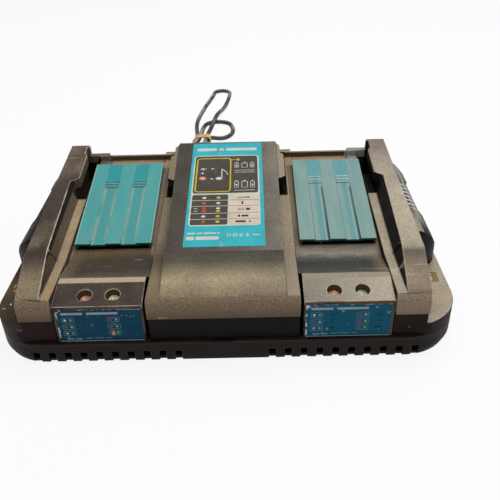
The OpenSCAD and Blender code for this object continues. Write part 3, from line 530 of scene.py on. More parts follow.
def cover_finish(name, paint, worn):
    """Teal cover: clear rear patches, pale grip ridges that are partly painted highlight, worn streaks,
    painted shadow along the grooves' walls and painted shade on the front faces; the right one rubbed grey.
    """
    f = Plastic(name, 0.35, 900)
    strip = COVER_WIDTH / 5
    half = 2.5 * strip
    across = f.math("SUBTRACT", f.x, f.times(f.math("SIGN", f.x), BAY_X * MM))
    in_groove = f.math("FLOORED_MODULO", f.math("ADD", across, 1.5 * strip * MM), 2 * strip * MM)
    groove = f.step(in_groove, strip + 0.1, strip - 0.3)
    streak = f.noise(120, 4, stretch=(1.0, 0.07, 1.0))
    smear = f.noise(60, 3, stretch=(1.6, 0.25, 1.0))
    land = f.mix(f.right, paint.cover, paint.cover_faded)
    land = f.mix(f.fade(smear, 0.35, 0.68, 0.0, 0.8), land, f.mix(f.right, "#5aaba6", "#8ba9a3"))
    sunk = f.mix(f.right, paint.cover_groove, paint.groove_faded)
    sunk = f.coat(sunk, "#479d9b", f.left, f.fade(smear, 0.42, 0.66, 0.0, 0.6))
    # the faded cover's grooves are pale at both sides, with a painted shadow along their right wall and a
    # fainter one along their left
    sunk = f.coat(sunk, "#84a59d", f.right, f.step(in_groove, 6.2, 3.0), f.fade(smear, 0.3, 0.6, 0.4, 1.0))
    sunk = f.coat(sunk, "#8aaba4", f.right, f.step(in_groove, 7.8, 9.8))
    lines = f.plus(f.step(in_groove, strip - 1.9, strip - 1.6), f.times(f.step(in_groove, 0.9, 0.6), 0.35))
    sunk = f.coat(sunk, "#06403c", lines, f.right, f.step(f.y, 44, 36),
                  f.fade(f.step(f.y, 35, -25), 0.0, 1.0, 0.75, 1.0))
    # beige streaks where the left cover is rubbed along its grooves' edges
    rubbed = f.plus(f.step(in_groove, 3.4, 0.6), f.step(in_groove, strip - 3.0, strip - 0.8))
    sunk = f.coat(sunk, "#a8b3a2", rubbed, f.left, f.step(f.y, 46.5, 44), f.fade(streak, 0.32, 0.52), 0.75)
    colour = f.mix(groove, land, sunk)
    # clear patches behind the grip ridges
    colour = f.coat(colour, f.mix(f.right, "#1f9aa3", "#549fa4"), groove, f.step(f.y, 53.5, 54.5), 0.85)
    # the grip ridges' pale tops: worn plastic and painted highlight
    ridges = f.plus(f.band(f.y, 48, 50, 0.2), f.band(f.y, 52, 54, 0.2))
    ridges = f.plus(ridges, f.times(f.band(f.y, 44, 46.1, 0.2), 0.35))
    colour = f.coat(colour, "#c3dfda", f.times(ridges, groove), f.fade(streak, 0.3, 0.5, 0.45, 0.9),
                    f.fade(f.right, 0.0, 1.0, 0.2, 1.0))
    brim = f.step(f.math("ABSOLUTE", across), half - 1.0, half - 0.4)
    colour = f.coat(colour, "#b9d8d2", brim, f.left, f.up, 0.6)
    colour = f.coat(colour, "#8a9288", f.fade(f.noise(38, 4), 0.55, 0.75), 0.25)
    colour = f.speckled(colour, 0.93, 1.07)
    if worn:
        colour = f.mix(f.fade(streak, 0.3, 0.55, 0.3, 0.8), colour, f.mix(f.right, "#8fd0c9", "#b9d6cd"))
    # painted shade: the covers' front faces darkened to a deep teal
    colour = f.coat(colour, "#0b3b3c", f.fade(f.up, 0.62, 0.5), f.step(f.y, -20, -24), 0.85)
    f.bump(f.grain, 0.0001, 0.5)
    f.bump(streak, 0.0002, 0.3)
    return f.done(colour, f.fade(smear, 0.3, 0.7, 0.38, 0.52))


def film_finish(name, colour, border=False, scuffs=0.2):
    """Printed label film: even, a little glossy, scuffed white along its border if asked."""
    f = Finish(name, Specular_IOR_Level=0.08)
    blotch = f.noise(70, 4)
    colour = tone(colour)
    shade = f.mix(f.fade(blotch, 0.35, 0.75, 0.0, 0.6), colour, [c * 0.72 for c in colour])
    if border:
        x, _, z = f.split(f.place)
        shade = f.mix(f.step(x, -BLEND, BLEND, 0.0, 0.8), shade, "#0a546c")
        from_middle = f.math("SUBTRACT", x, f.times(f.math("SIGN", x), FRONT_LABEL_X * MM))
        from_left = f.math("SUBTRACT", from_middle, -FRONT_LABEL_SIZE[0] / 2 * MM)
        corner = f.times(f.step(from_left, 5, 2), f.step(z, 42.5, 44.5))
        rim = f.plus(f.step(from_left, 1.4, 0.6), corner, f.times(f.step(z, 44.8, 45.6), 0.5))
        shade = f.coat(shade, "#c3ced0", rim, f.fade(f.noise(260, 3), 0.50, 0.56), 0.9)
    scratch = f.fade(f.noise(240, 2, stretch=(1.0, 0.2, 1.0)), 0.68, 0.72)
    shade = f.coat(shade, "#cfd8d6", scratch, scuffs)
    f.bump(f.noise(900, 2), 0.00008, 0.4)
    return f.done(shade, f.fade(blotch, 0.3, 0.7, 0.35, 0.49))


def inks(name, **colours):
    """One printed finish for each colour of a label."""
    return {key: film_finish(name + "_" + key, colour) for key, colour in colours.items()}


def plain_finish(name, colour, other, scale=60, rough=(0.4, 0.55), bump=0.0001, grain=900, **sockets):
    """A moulded, drawn or painted surface with a mottled colour and a fine bump."""
    f = Finish(name, **sockets)
    blotch = f.noise(scale, 4)
    shade = f.mix(f.fade(blotch, 0.32, 0.7), colour, other)
    f.bump(f.noise(grain, 2), bump, 0.5)
    return f.done(shade, f.fade(blotch, 0.3, 0.7, *rough))


def cord_finish(name, colour):
    """Rubbery jacket, with a painted highlight in patches along its top."""
    f = Finish(name, Specular_IOR_Level=0.6)
    blotch = f.noise(90, 4)
    patch_mask = f.fade(f.noise(30, 3, shift=(1, 2, 3)), 0.42, 0.58)
    shade = f.mix(f.fade(blotch, 0.35, 0.7), colour, "#343334")
    # painted highlight: pale grey in patches on the faces that look up
    shade = f.coat(shade, "#a6a29a", patch_mask, f.fade(f.normal()[2], 0.55, 0.95), 0.9)
    f.bump(f.noise(700, 2), 0.0001, 0.5)
    return f.done(shade, f.fade(blotch, 0.3, 0.7, 0.3, 0.45))


def lens_finish(name, colour):
    """Milky indicator lens, paler in patches."""
    f = Finish(name, Coat_Weight=0.5, Coat_Roughness=0.15)
    blotch = f.noise(420, 3)
    paler = [min(1.0, c * 1.7 + 0.05) for c in colour]
    shade = f.mix(f.fade(blotch, 0.4, 0.62), colour, paler)
    return f.done(shade, f.fade(blotch, 0.3, 0.7, 0.2, 0.35))


# ---- modelling helpers ----

def added(name, data):
    """A new object of the scene."""
    thing = bpy.data.objects.new(name, data)
    bpy.context.scene.collection.objects.link(thing)
    return thing


def pick(*pieces):
    """Selects these pieces and nothing else, the first one as the active one."""
    if bpy.context.object and bpy.context.object.mode != "OBJECT":
        bpy.ops.object.mode_set(mode="OBJECT")
    bpy.ops.object.select_all(action="DESELECT")
    for piece in pieces:
        piece.select_set(True)
    bpy.context.view_layer.objects.active = pieces[0] if pieces else None


def choose(piece, wanted):
    """Selects the wanted faces of a piece in edit mode, and nothing else."""
    mesh = bmesh.from_edit_mesh(piece.data)
    mesh.faces.ensure_lookup_table()
    for element in (*mesh.verts, *mesh.edges, *mesh.faces):
        element.select_set(False)
    for face in wanted(mesh.faces):
        face.select_set(True)
    mesh.select_flush_mode()
    bmesh.update_edit_mesh(piece.data)


def joined(name, finish, pieces):
    """One mesh of several pieces, in one finish."""
    pick(*pieces)
    bpy.ops.object.convert(target="MESH")
    bpy.ops.object.join()
    piece = bpy.context.object
    piece.name = name
    piece.data.materials.clear()
    piece.data.materials.append(finish)
    return piece


def settle(piece, body, slot, *nodes):
    """Puts a finished piece on its body, with its place in its mesh, instead of some CAD nodes."""
    pick(piece)
    bpy.ops.object.transform_apply(location=True, rotation=True, scale=True)
    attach(piece, body)
    if nodes:
        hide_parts(*nodes)


def finish_modifiers(piece):
    pick(piece)
    for modifier in list(piece.modifiers):
        bpy.ops.object.modifier_apply(modifier=modifier.name)


def bevelled(piece, width, segments=2, angle=35, material=-1, clamp=False):
    modifier = piece.modifiers.new("edges", "BEVEL")
    modifier.width = width
    modifier.segments = segments
    modifier.limit_method = "ANGLE"
    modifier.angle_limit = math.radians(angle)
    modifier.use_clamp_overlap = clamp
    modifier.material = material
    modifier.harden_normals = True


def shell_copy(name, node, body, slot, edge, finishes, clamp=False):
    """A copy of a CAD node that replaces it, its edges bevelled in the second of two finishes."""
    piece = added(name, frame["nodes"][node].data.copy())
    piece.data.materials.clear()
    for material in finishes:
        piece.data.materials.append(material)
    for polygon in piece.data.polygons:
        polygon.material_index = 0
    pick(piece)
    bpy.ops.object.mode_set(mode="EDIT")
    bpy.ops.mesh.select_mode(type="VERT")
    bpy.ops.mesh.select_all(action="SELECT")
    bpy.ops.mesh.remove_doubles(threshold=WELD_DISTANCE)
    bpy.ops.mesh.dissolve_limited(angle_limit=FLAT_ANGLE)
    bpy.ops.object.mode_set(mode="OBJECT")
    bpy.ops.object.shade_smooth_by_angle(angle=SMOOTH_ANGLE)
    bevelled(piece, edge, material=1, clamp=clamp)
    normals = piece.modifiers.new("normals", "WEIGHTED_NORMAL")
    normals.weight = 100
    normals.keep_sharp = True
    finish_modifiers(piece)
    settle(piece, body, slot, node)


class Sheet:
    """Flat shapes modelled on one plane, millimetres across, and laid on their place as one piece.

    A shape stands on one of the sheet's levels: 0 is just above the ground, 1 the top of the film,
    and each higher one a layer of ink further up. It reaches up to the next level.
    """
    FOOT = 0.02

    def __init__(self, name, layers):
        sizes = bpy.context.scene.charger_sizes
        film, ink = sizes.film / MM, sizes.ink / MM
        self.levels = [self.FOOT, *(film + k * ink for k in range(6))]
        mesh = bpy.data.meshes.new(name)
        self.piece = added(name, mesh)
        self.index = {}
        for key, material in layers.items():
            self.index[key] = len(self.index)
            mesh.materials.append(material)
        pick(self.piece)
        bpy.ops.object.mode_set(mode="EDIT")
        bpy.ops.mesh.select_mode(type="VERT")

    def outline(self, x, y, width, height, level, corner=0.0, turn=0.0, sides=0):
        """Adds a flat rectangle, or an ellipse with this many sides, and leaves it selected."""
        centre = (x * MM, y * MM, self.levels[level] * MM)
        if sides:
            bpy.ops.mesh.primitive_circle_add(vertices=sides, radius=0.5, fill_type="NGON", location=centre)
        else:
            bpy.ops.mesh.primitive_plane_add(size=1, location=centre)
        bpy.ops.transform.resize(value=(width * MM, height * MM, 1.0), center_override=centre)
        if turn:
            bpy.ops.transform.rotate(value=-math.radians(turn), orient_axis="Z", center_override=centre)
        if corner:
            bpy.ops.mesh.bevel(offset=corner * MM, affect="VERTICES", segments=4)

    def raise_up(self, layer, level, lift=0.0):
        rise = self.levels[level + 1] - self.levels[level] + lift
        bpy.ops.mesh.extrude_region_move(TRANSFORM_OT_translate={"value": (0, 0, rise * MM)})
        bpy.ops.mesh.select_linked()
        self.piece.active_material_index = self.index[layer]
        bpy.ops.object.material_slot_assign()

    def plate(self, layer, x, y, width, height, level, corner=0.0, turn=0.0, lift=0.0):
        self.outline(x, y, width, height, level, corner, turn)
        self.raise_up(layer, level, lift)

    def disc(self, layer, x, y, width, height, level, sides=16):
        self.outline(x, y, width, height, level, sides=sides)
        self.raise_up(layer, level)

    def frame(self, layer, x, y, width, height, thick, level, corner=0.0):
        self.outline(x, y, width, height, level, corner)
        bpy.ops.mesh.select_mode(type="FACE")
        bpy.ops.mesh.inset(thickness=thick * MM)
        bpy.ops.mesh.delete(type="ONLY_FACE")
        bpy.ops.mesh.select_mode(type="VERT")
        # the inset's ring is the newest, and nothing else is linked to it
        choose(self.piece, lambda faces: [faces[-1]])
        bpy.ops.mesh.select_linked()
        self.raise_up(layer, level)

    def lay(self, origin, right, up):
        """Lays the sheet on the housing, with its X and Y along two directions."""
        bpy.ops.mesh.select_all(action="SELECT")
        bpy.ops.mesh.normals_make_consistent(inside=False)
        bpy.ops.object.mode_set(mode="OBJECT")
        self.piece.data.transform(plane_at(origin, right, up))
        settle(self.piece, "housing", "housing_plastic")


def plane_at(origin, right, up):
    """The matrix that lays a shape at a point, with its X and Y along two directions."""
    right, up = Vector(right).normalized(), Vector(up).normalized()
    matrix = Matrix((right, up, right.cross(up))).transposed().to_4x4()
    matrix.translation = Vector(origin) * MM
    return matrix


# ---- cord ----

ON_FLOOR = 2.9
NEAR_FOLD = (20, 50, 80, 110, 140, 165)
FAR_FOLD = (170, 140, 110, 80, 50, 20)
LEAD = [CORD_EXIT, (-44, 137, 16.8), (-44, 142, 15), (-44, 147, 12), (-44, 152, 8.5), (-44, 157, 5.2),
        (-44, 163, 3.4), (-44, 171)]
UNDER = [(-44.5, 190), (-45.5, 215), (-46.5, 240), (-46.8, 264, 3.8), (-46.6, 283, 5)]
LONG_LOOP = [(-46.5, 308, 4.4), (-48, 322, 3.2), (-49.5, 340), (-49.5, 358), (-47.5, 378), (-44.5, 398),
             (-41, 418), (-37, 438), (-34, 453), (-32.4, 463), (-31.2, 472), (-27.7, 477.3), (-20.5, 480),
             (-13.3, 477.3), (-9.8, 472), (-9.2, 461), (-10, 446), (-12, 430), (-14.5, 411, 3.6),
             (-17.5, 392, 6), (-20.5, 376, 8.8), (-23.5, 362, 9.8), (-26, 349, 9.2), (-28.5, 337, 7),
             (-31, 324, 5), (-33.5, 308, 4.4)]
FIRST_RUN = [(-32.8, 290, 4.7), (-30.5, 270, 5.6), (-24, 250, 7.5), (-21, 230, 8.6), (-21, 210, 8.6)]
SECOND_RUN = [(-59, 205, 8.6), (-59, 225, 8.6), (-56, 245, 8.8), (-49.5, 262, 9.5), (-43, 280, 10.2)]
SHORT_LOOP = [(-40, 308, 10.2), (-40.5, 318, 7.5), (-40.5, 328, 4.6), (-39.7, 338, 3.1), (-37.3, 347),
              (-30.9, 353.4), (-22, 355.7), (-13.1, 353.4), (-6.6, 347), (-3.6, 338), (-2, 328),
              (-2.5, 317.5), (-6, 307.5), (-12.5, 300, 3.4), (-20, 295, 5.2), (-27, 290, 8),
              (-32.5, 283, 10.3)]
THIRD_RUN = [(-34, 275, 10.8), (-33, 264, 11.8), (-26.5, 250, 13.4), (-21.5, 233, 14.2), (-21, 212, 14.2)]
DIVE = [(-32.5, 219, 19.3), (-32.5, 210, 16.3), (-33, 200, 11.5), (-33.5, 190, 6.5), (-34, 181, 3.5),
        (-34, 171)]
TAIL = [(-33, 163), (-29.5, 155), (-23.5, 149), (-15, 145.3), (-5, 144, 3.2), (5, 144, 4.8),
        (14, 144, 6.5), (22, 144, 7)]


def fold(centre_x, centre_y, radius, angles, heights, way):
    """A turn of the cord at one end of its hank."""
    turns = [math.radians(angle) for angle in angles]
    return [(centre_x + radius * math.cos(a), centre_y + way * radius * math.sin(a), height)
            for a, height in zip(turns, heights)]


def cord_route():
    """Centre line of the cord in millimetres: lead, tied hank with its two loops, tail."""
    near = [fold(-40, 193, 19, NEAR_FOLD, [height] * 6, -1) for height in (8.6, 14.2, 19.8)]
    points = (LEAD + UNDER + LONG_LOOP + FIRST_RUN + near[0] + SECOND_RUN + SHORT_LOOP + THIRD_RUN + near[1]
              + [(-59, 205, 14.2), (-59, 220, 14.2)]
              + fold(-40, 229, 19, FAR_FOLD, (14.4, 15, 16.2, 17.8, 19.3, 19.8), 1)
              + [(-21, 222, 19.8), (-21, 207, 19.8)] + near[2] + [(-59, 204, 19.8), (-58.8, 215, 19.8)]
              + fold(-45.5, 224, 13, FAR_FOLD, [19.8] * 6, 1) + DIVE + TAIL)
    return [Vector(point if len(point) == 3 else (*point, ON_FLOOR)) * MM for point in points]


def round_curve(name, kind, radius, roundness, count):
    """A new round curve, and its spline with this many points."""
    data = bpy.data.curves.new(name, "CURVE")
    data.dimensions = "3D"
    data.bevel_depth = radius
    data.bevel_resolution = roundness
    spline = data.splines.new(kind)
    (spline.bezier_points if kind == "BEZIER" else spline.points).add(count - 1)
    return added(name, data), spline


class CHARGER_OT_camera(Operator):
    """Sets the camera where the charger is seen from above its front"""
    bl_idname = "charger.camera"
    bl_label = "Camera"

    def execute(self, context):
        data = bpy.data.cameras.new("camera")
        data.lens = context.scene.charger_studio.lens
        data.sensor_width = 36.0
        data.clip_start = 0.01
        yaw, pitch, roll = (math.radians(a) for a in CAMERA_TURN)
        ahead = Vector((math.sin(yaw) * math.cos(pitch), math.cos(yaw) * math.cos(pitch), -math.sin(pitch)))
        level = Vector((math.cos(yaw), -math.sin(yaw), 0.0))
        above = level.cross(ahead)
        right = level * math.cos(roll) + above * math.sin(roll)
        up = above * math.cos(roll) - level * math.sin(roll)
        matrix = Matrix((right, up, -ahead)).transposed().to_4x4()
        matrix.translation = CAMERA_PLACE
        camera = added("camera", data)
        camera.matrix_world = matrix
        context.scene.camera = camera
        return {"FINISHED"}


class CHARGER_OT_cord(Operator):
    """Lays the mains cord in its tied hank, as one curve"""
    bl_idname = "charger.cord"
    bl_label = "Mains Cord"

    def execute(self, context):
        scene = context.scene
        route = cord_route()
        radius = scene.charger_sizes.cord_diameter / 2
        cord, spline = round_curve("mains_cord", "BEZIER", radius, 4, len(route))
        cord.data.resolution_u = 5
        cord.data.use_fill_caps = True
        for knot, point in zip(spline.bezier_points, route):
            knot.co = point
            knot.handle_left_type = knot.handle_right_type = "AUTO"
        cord.data.materials.append(cord_finish("cord_jacket", scene.charger_colours.cord))
        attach(cord, "housing")
        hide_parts("cord_lead", "cord_hank", "cord_long_loop", "cord_short_loop", "cord_tail")
        return {"FINISHED"}


class CHARGER_OT_tie(Operator):
    """Winds the band round the neck of the cord's hank"""
    bl_idname = "charger.tie"
    bl_label = "Cord Tie"

    # the outer strands that it goes round: middle, height, first and last angle
    STRANDS = ((-42.5, 10.2, 90, 147), (-46.6, 5.0, 147, 270), (-32.6, 5.0, 270, 360), (-32.6, 10.3, 0, 90))
    # where each winding starts, and how far it leans
    WINDINGS = ((279.0, 0.2), (280.6, -0.25), (282.4, 0.15), (284.2, -0.1), (285.8, 0.25))

    def execute(self, context):
        sizes = context.scene.charger_sizes
        half = sizes.band / MM / 2
        # the band is sunk a little into the strands that it holds
        reach = sizes.cord_diameter / MM / 2 + half - 0.3
        finish = plain_finish("tie_band", context.scene.charger_colours.tie, "#d9ab5e", 300,
                              (0.42, 0.6), 0.0002, 1200)
        loop = []
        for x, z, first, last in self.STRANDS:
            for k in range(7):
                a = math.radians(first + (last - first) * k / 6)
                loop.append((x + reach * math.cos(a), z + reach * math.sin(a)))
        rings = []
        for start, lean in self.WINDINGS:
            ring, spline = round_curve("tie_ring", "POLY", half * MM, 3, len(loop))
            spline.use_cyclic_u = True
            for knot, (x, z) in zip(spline.points, loop):
                knot.co = (x * MM, (start + lean * (x + 40) / 6) * MM, max(z, half + 0.1) * MM, 1.0)
            rings.append(ring)
        tie = joined("twist_tie", finish, rings)
        bpy.ops.object.shade_smooth()
        settle(tie, "housing", "tie_plastic", "cord_tie")
        return {"FINISHED"}


class CHARGER_OT_plug(Operator):
    bl_idname = "charger.plug"
    bl_label = "Plug"

    def execute(self, context):
        pick()
        bpy.ops.mesh.primitive_cube_add(size=1, location=PLUG_MIDDLE)
        plug = context.object
        plug.name = "mains_plug"
        bpy.ops.object.mode_set(mode="EDIT")
        bpy.ops.transform.resize(value=PLUG_SIZE, center_override=PLUG_MIDDLE)
        choose(plug, lambda faces: [face for face in faces if face.normal.x < -0.9])
        neck = (PLUG_MIDDLE[0] - PLUG_SIZE[0] / 2, *PLUG_MIDDLE[1:])
        for share in NECK_SHARES:
            bpy.ops.mesh.extrude_region_move(TRANSFORM_OT_translate={"value": (-NECK_STEP, 0, 0)})
            bpy.ops.transform.resize(value=(1, share, 0.93), center_override=neck)
        bpy.ops.object.mode_set(mode="OBJECT")
        bevelled(plug, 0.0022, 4, 30, clamp=True)
        finish_modifiers(plug)
        bpy.ops.object.shade_smooth_by_angle(angle=math.radians(40))
        plug.data.materials.append(plain_finish("plug_rubber", "#242424", "#343232"))
        settle(plug, "housing", "cord_rubber", "plug_body")
        return {"FINISHED"}


class CHARGER_OT_shells(Operator):
    """Bevels the upper and lower housings and the front blocks"""
    bl_idname = "charger.shells"
    bl_label = "Housings"

    def execute(self, context):
        paint = context.scene.charger_colours
        edge = context.scene.charger_sizes.shell_edge
        shell = shell_finish("shell_plastic", paint, False), shell_finish("shell_worn_edge", paint, True)
        shell_copy("shell_upper", "upper_housing", "housing", "housing_plastic", edge, shell)
        tray = tray_finish("tray_plastic", paint, False), tray_finish("tray_worn_edge", paint, True)
        shell_copy("shell_tray", "lower_housing", "housing", "tray_plastic", edge, tray)
        block = block_finish("block_plastic", paint, False), block_finish("block_worn_edge", paint, True)
        for side in SIDES:
            shell_copy("front_block_" + side, "lamp_block_" + side, "housing", "housing_plastic", edge, block)
        return {"FINISHED"}


class CHARGER_OT_covers(Operator):
    """Bevels the two terminal covers"""
    bl_idname = "charger.covers"
    bl_label = "Terminal Covers"

    def execute(self, context):
        paint = context.scene.charger_colours
        cover = cover_finish("cover_plastic", paint, False), cover_finish("cover_worn_edge", paint, True)
        for side in SIDES:
            shell_copy("teal_cover_" + side, "terminal_cover_" + side, "cover_" + side, "teal_plastic",
                       context.scene.charger_sizes.cover_edge, cover, clamp=True)
        return {"FINISHED"}


class CHARGER_OT_lenses(Operator):
    """Models the indicator lenses at the bottom of their wells"""
    bl_idname = "charger.lenses"
    bl_label = "Indicator Lenses"

    # each ring of a lens from its rim inwards: how far in, and how far up
    RINGS = ((0.0007, 0.0004), (0.0006, -0.0007), (0.0006, 0.0005), (0.0005, 0.0004), (0.0006, -0.0003))

    def lens(self, place, radius, across):
        """A lens that lies in a plane, this far across from the plane's middle."""
        pick()
        bpy.ops.mesh.primitive_cylinder_add(vertices=32, radius=radius, depth=0.0016, location=(across, 0, 0))
        lens = bpy.context.object
        bpy.ops.object.mode_set(mode="EDIT")
        choose(lens, lambda faces: [face for face in faces if face.normal.z > 0.9])
        for inset, rise in self.RINGS:
            bpy.ops.mesh.inset(thickness=inset)
            bpy.ops.transform.translate(value=(0, 0, rise))
        bpy.ops.object.mode_set(mode="OBJECT")
        bpy.ops.object.transform_apply(location=True, rotation=True, scale=True)
        lens.data.transform(place @ Matrix.Translation((0, 0, (0.85 - WELL_DEPTH) * MM)))
        return lens

    def execute(self, context):
        radius = context.scene.charger_sizes.lens_radius
        paint = context.scene.charger_colours
        up = (0, math.cos(LAMP_SLOPE), math.sin(LAMP_SLOPE))
        places = [plane_at((x, LAMP_Y, LAMP_Z), (1, 0, 0), up) for x in (-BAY_X, BAY_X)]
        for name, across, colour in (("red", -0.5, paint.red_lens), ("green", 0.5, paint.green_lens)):
            lenses = [self.lens(place, radius, across * WELL_PITCH * MM) for place in places]
            pair = joined(name + "_lenses", lens_finish(name + "_lenses", colour), lenses)
            bpy.ops.object.shade_smooth_by_angle(angle=math.radians(50))
            settle(pair, "housing", name + "_lamp", name + "_lamps")
        return {"FINISHED"}


class CHARGER_OT_front_labels(Operator):
    """Prints the two indicator labels on the front blocks"""
    bl_idname = "charger.front_labels"
    bl_label = "Front Labels"

    ROWS = (5.2, -0.9, -6.6)
    # the two dots of each row, in a left and a right column
    COLUMNS = {-22.1: (("cream", "olive"), ("red", "white"), ("white", "olive")),
               9.9: (("red", "white"), ("red", "green"), ("red", "green"))}
    DASHES = ((-11.0, 5.4, 3.0, 0.8), (-11.4, -0.6, 0.9, 2.2), (-11.6, -6.4, 3.6, 0.9),
              (21.8, 5.3, 3.2, 0.9), (21.8, -0.4, 3.0, 0.8), (20.8, -6.2, 4.4, 0.9))

    def execute(self, context):
        film = film_finish("front_label_film", context.scene.charger_colours.front_label, border=True)
        layers = {"film": film, **inks(
            "front_label", white="#93a0a2", pale="#5d8494", navy="#062a42", red="#9c3b4a",
            cream="#cdbfa6", olive="#8f8a45", green="#7f9c34", stain="#b98a66")}
        for side, x in zip(SIDES, (-FRONT_LABEL_X, FRONT_LABEL_X)):
            s = Sheet("front_label_" + side, layers)
            s.plate("film", 0, 0, *FRONT_LABEL_SIZE, 0, 0.5)
            s.plate("white", 0, -13.8, 59.8, 0.7, 1)
            for at, width in ((-18.6, 15.4), (2.6, 22.0)):
                s.plate("white", at, 10.8, width, 2.0, 1, 0.6)
            for centre, colours in self.COLUMNS.items():
                for v, pair in zip(self.ROWS, colours):
                    s.frame("pale", centre, v, 8.8, 4.5, 0.35, 1, 1.1)
                    for offset, colour in zip((-2.0, 2.0), pair):
                        s.disc(colour, centre + offset, v, 2.0, 2.0, 1)
            for dash in self.DASHES:
                s.plate("navy", *dash, 1)
            for at, width in ((-22.5, 5.2), (-16.6, 4.6)):
                s.plate("pale", at, -11.8, width, 1.5, 1, 0.3)
            for at, width in ((-9.5, 5.0), (-2.0, 7.0), (5.0, 4.0)):
                s.plate("pale", at, -11.3, width, 0.7, 1)
            if side == "left":
                s.disc("stain", 8.6, -7.2, 3.2, 4.6, 2, 5)
            s.lay((x, LAMP_FACE_Y, FRONT_LABEL_Z), (1, 0, 0), (0, 0, 1))
        return {"FINISHED"}


class CHARGER_OT_ledge_marks(Operator):
    """Lays the small plate and the pale marks on the side ledges"""
    bl_idname = "charger.ledge_marks"
    bl_label = "Ledge Marks"

    # middle, size and turn of the bits of gold print that are left on the right ledge
    RIGHT_BITS = ((156.6, -58.6, 3.4, 1.0, 30), (161.2, -58.2, 1.2, 3.2, 15), (164.6, -58.8, 2.6, 1.1, -20),
                  (158.6, -63.2, 5.2, 1.0, -12), (163.8, -63.8, 2.6, 2.6, 0), (157.0, -67.4, 1.2, 3.0, 24),
                  (161.0, -68.6, 4.4, 1.1, 18), (158.4, -72.8, 2.2, 1.0, 0))
    LEFT_BITS = (("gold", -164.6, -43.0, 1.2, 6.0), ("orange", -162.0, -49.0, 4.6, 3.8),
                 ("gold", -159.6, -57.0, 1.4, 3.0), ("white", -160.8, -66.0, 1.6, 2.4),
                 ("gold", -164.4, -71.0, 2.8, 1.4))

    def execute(self, context):
        s = Sheet("ledge_marks", inks("ledge", plate="#8f8256", gold="#c9b37a", white="#e9e6dc",
                                      orange="#cf8a52"))
        s.plate("gold", 158.0, -42.0, 13.6, 14.6, 0, 1.2)
        s.plate("plate", 158.0, -42.0, 12.4, 13.4, 1, 0.9)
        s.frame("white", 157.4, -39.4, 4.6, 4.6, 1.0, 2, 1.2)
        s.plate("white", 158.8, -43.0, 1.2, 5.4, 2)
        s.disc("white", 157.6, -45.8, 3.4, 2.6, 2, 12)
        for *bit, turn in self.RIGHT_BITS:
            s.plate("gold", *bit, 0, 0.3, turn)
        for bit in self.LEFT_BITS:
            s.disc(*bit, 0, 7)
        s.lay((0, 0, LEDGE_Z), (1, 0, 0), (0, 1, 0))
        return {"FINISHED"}


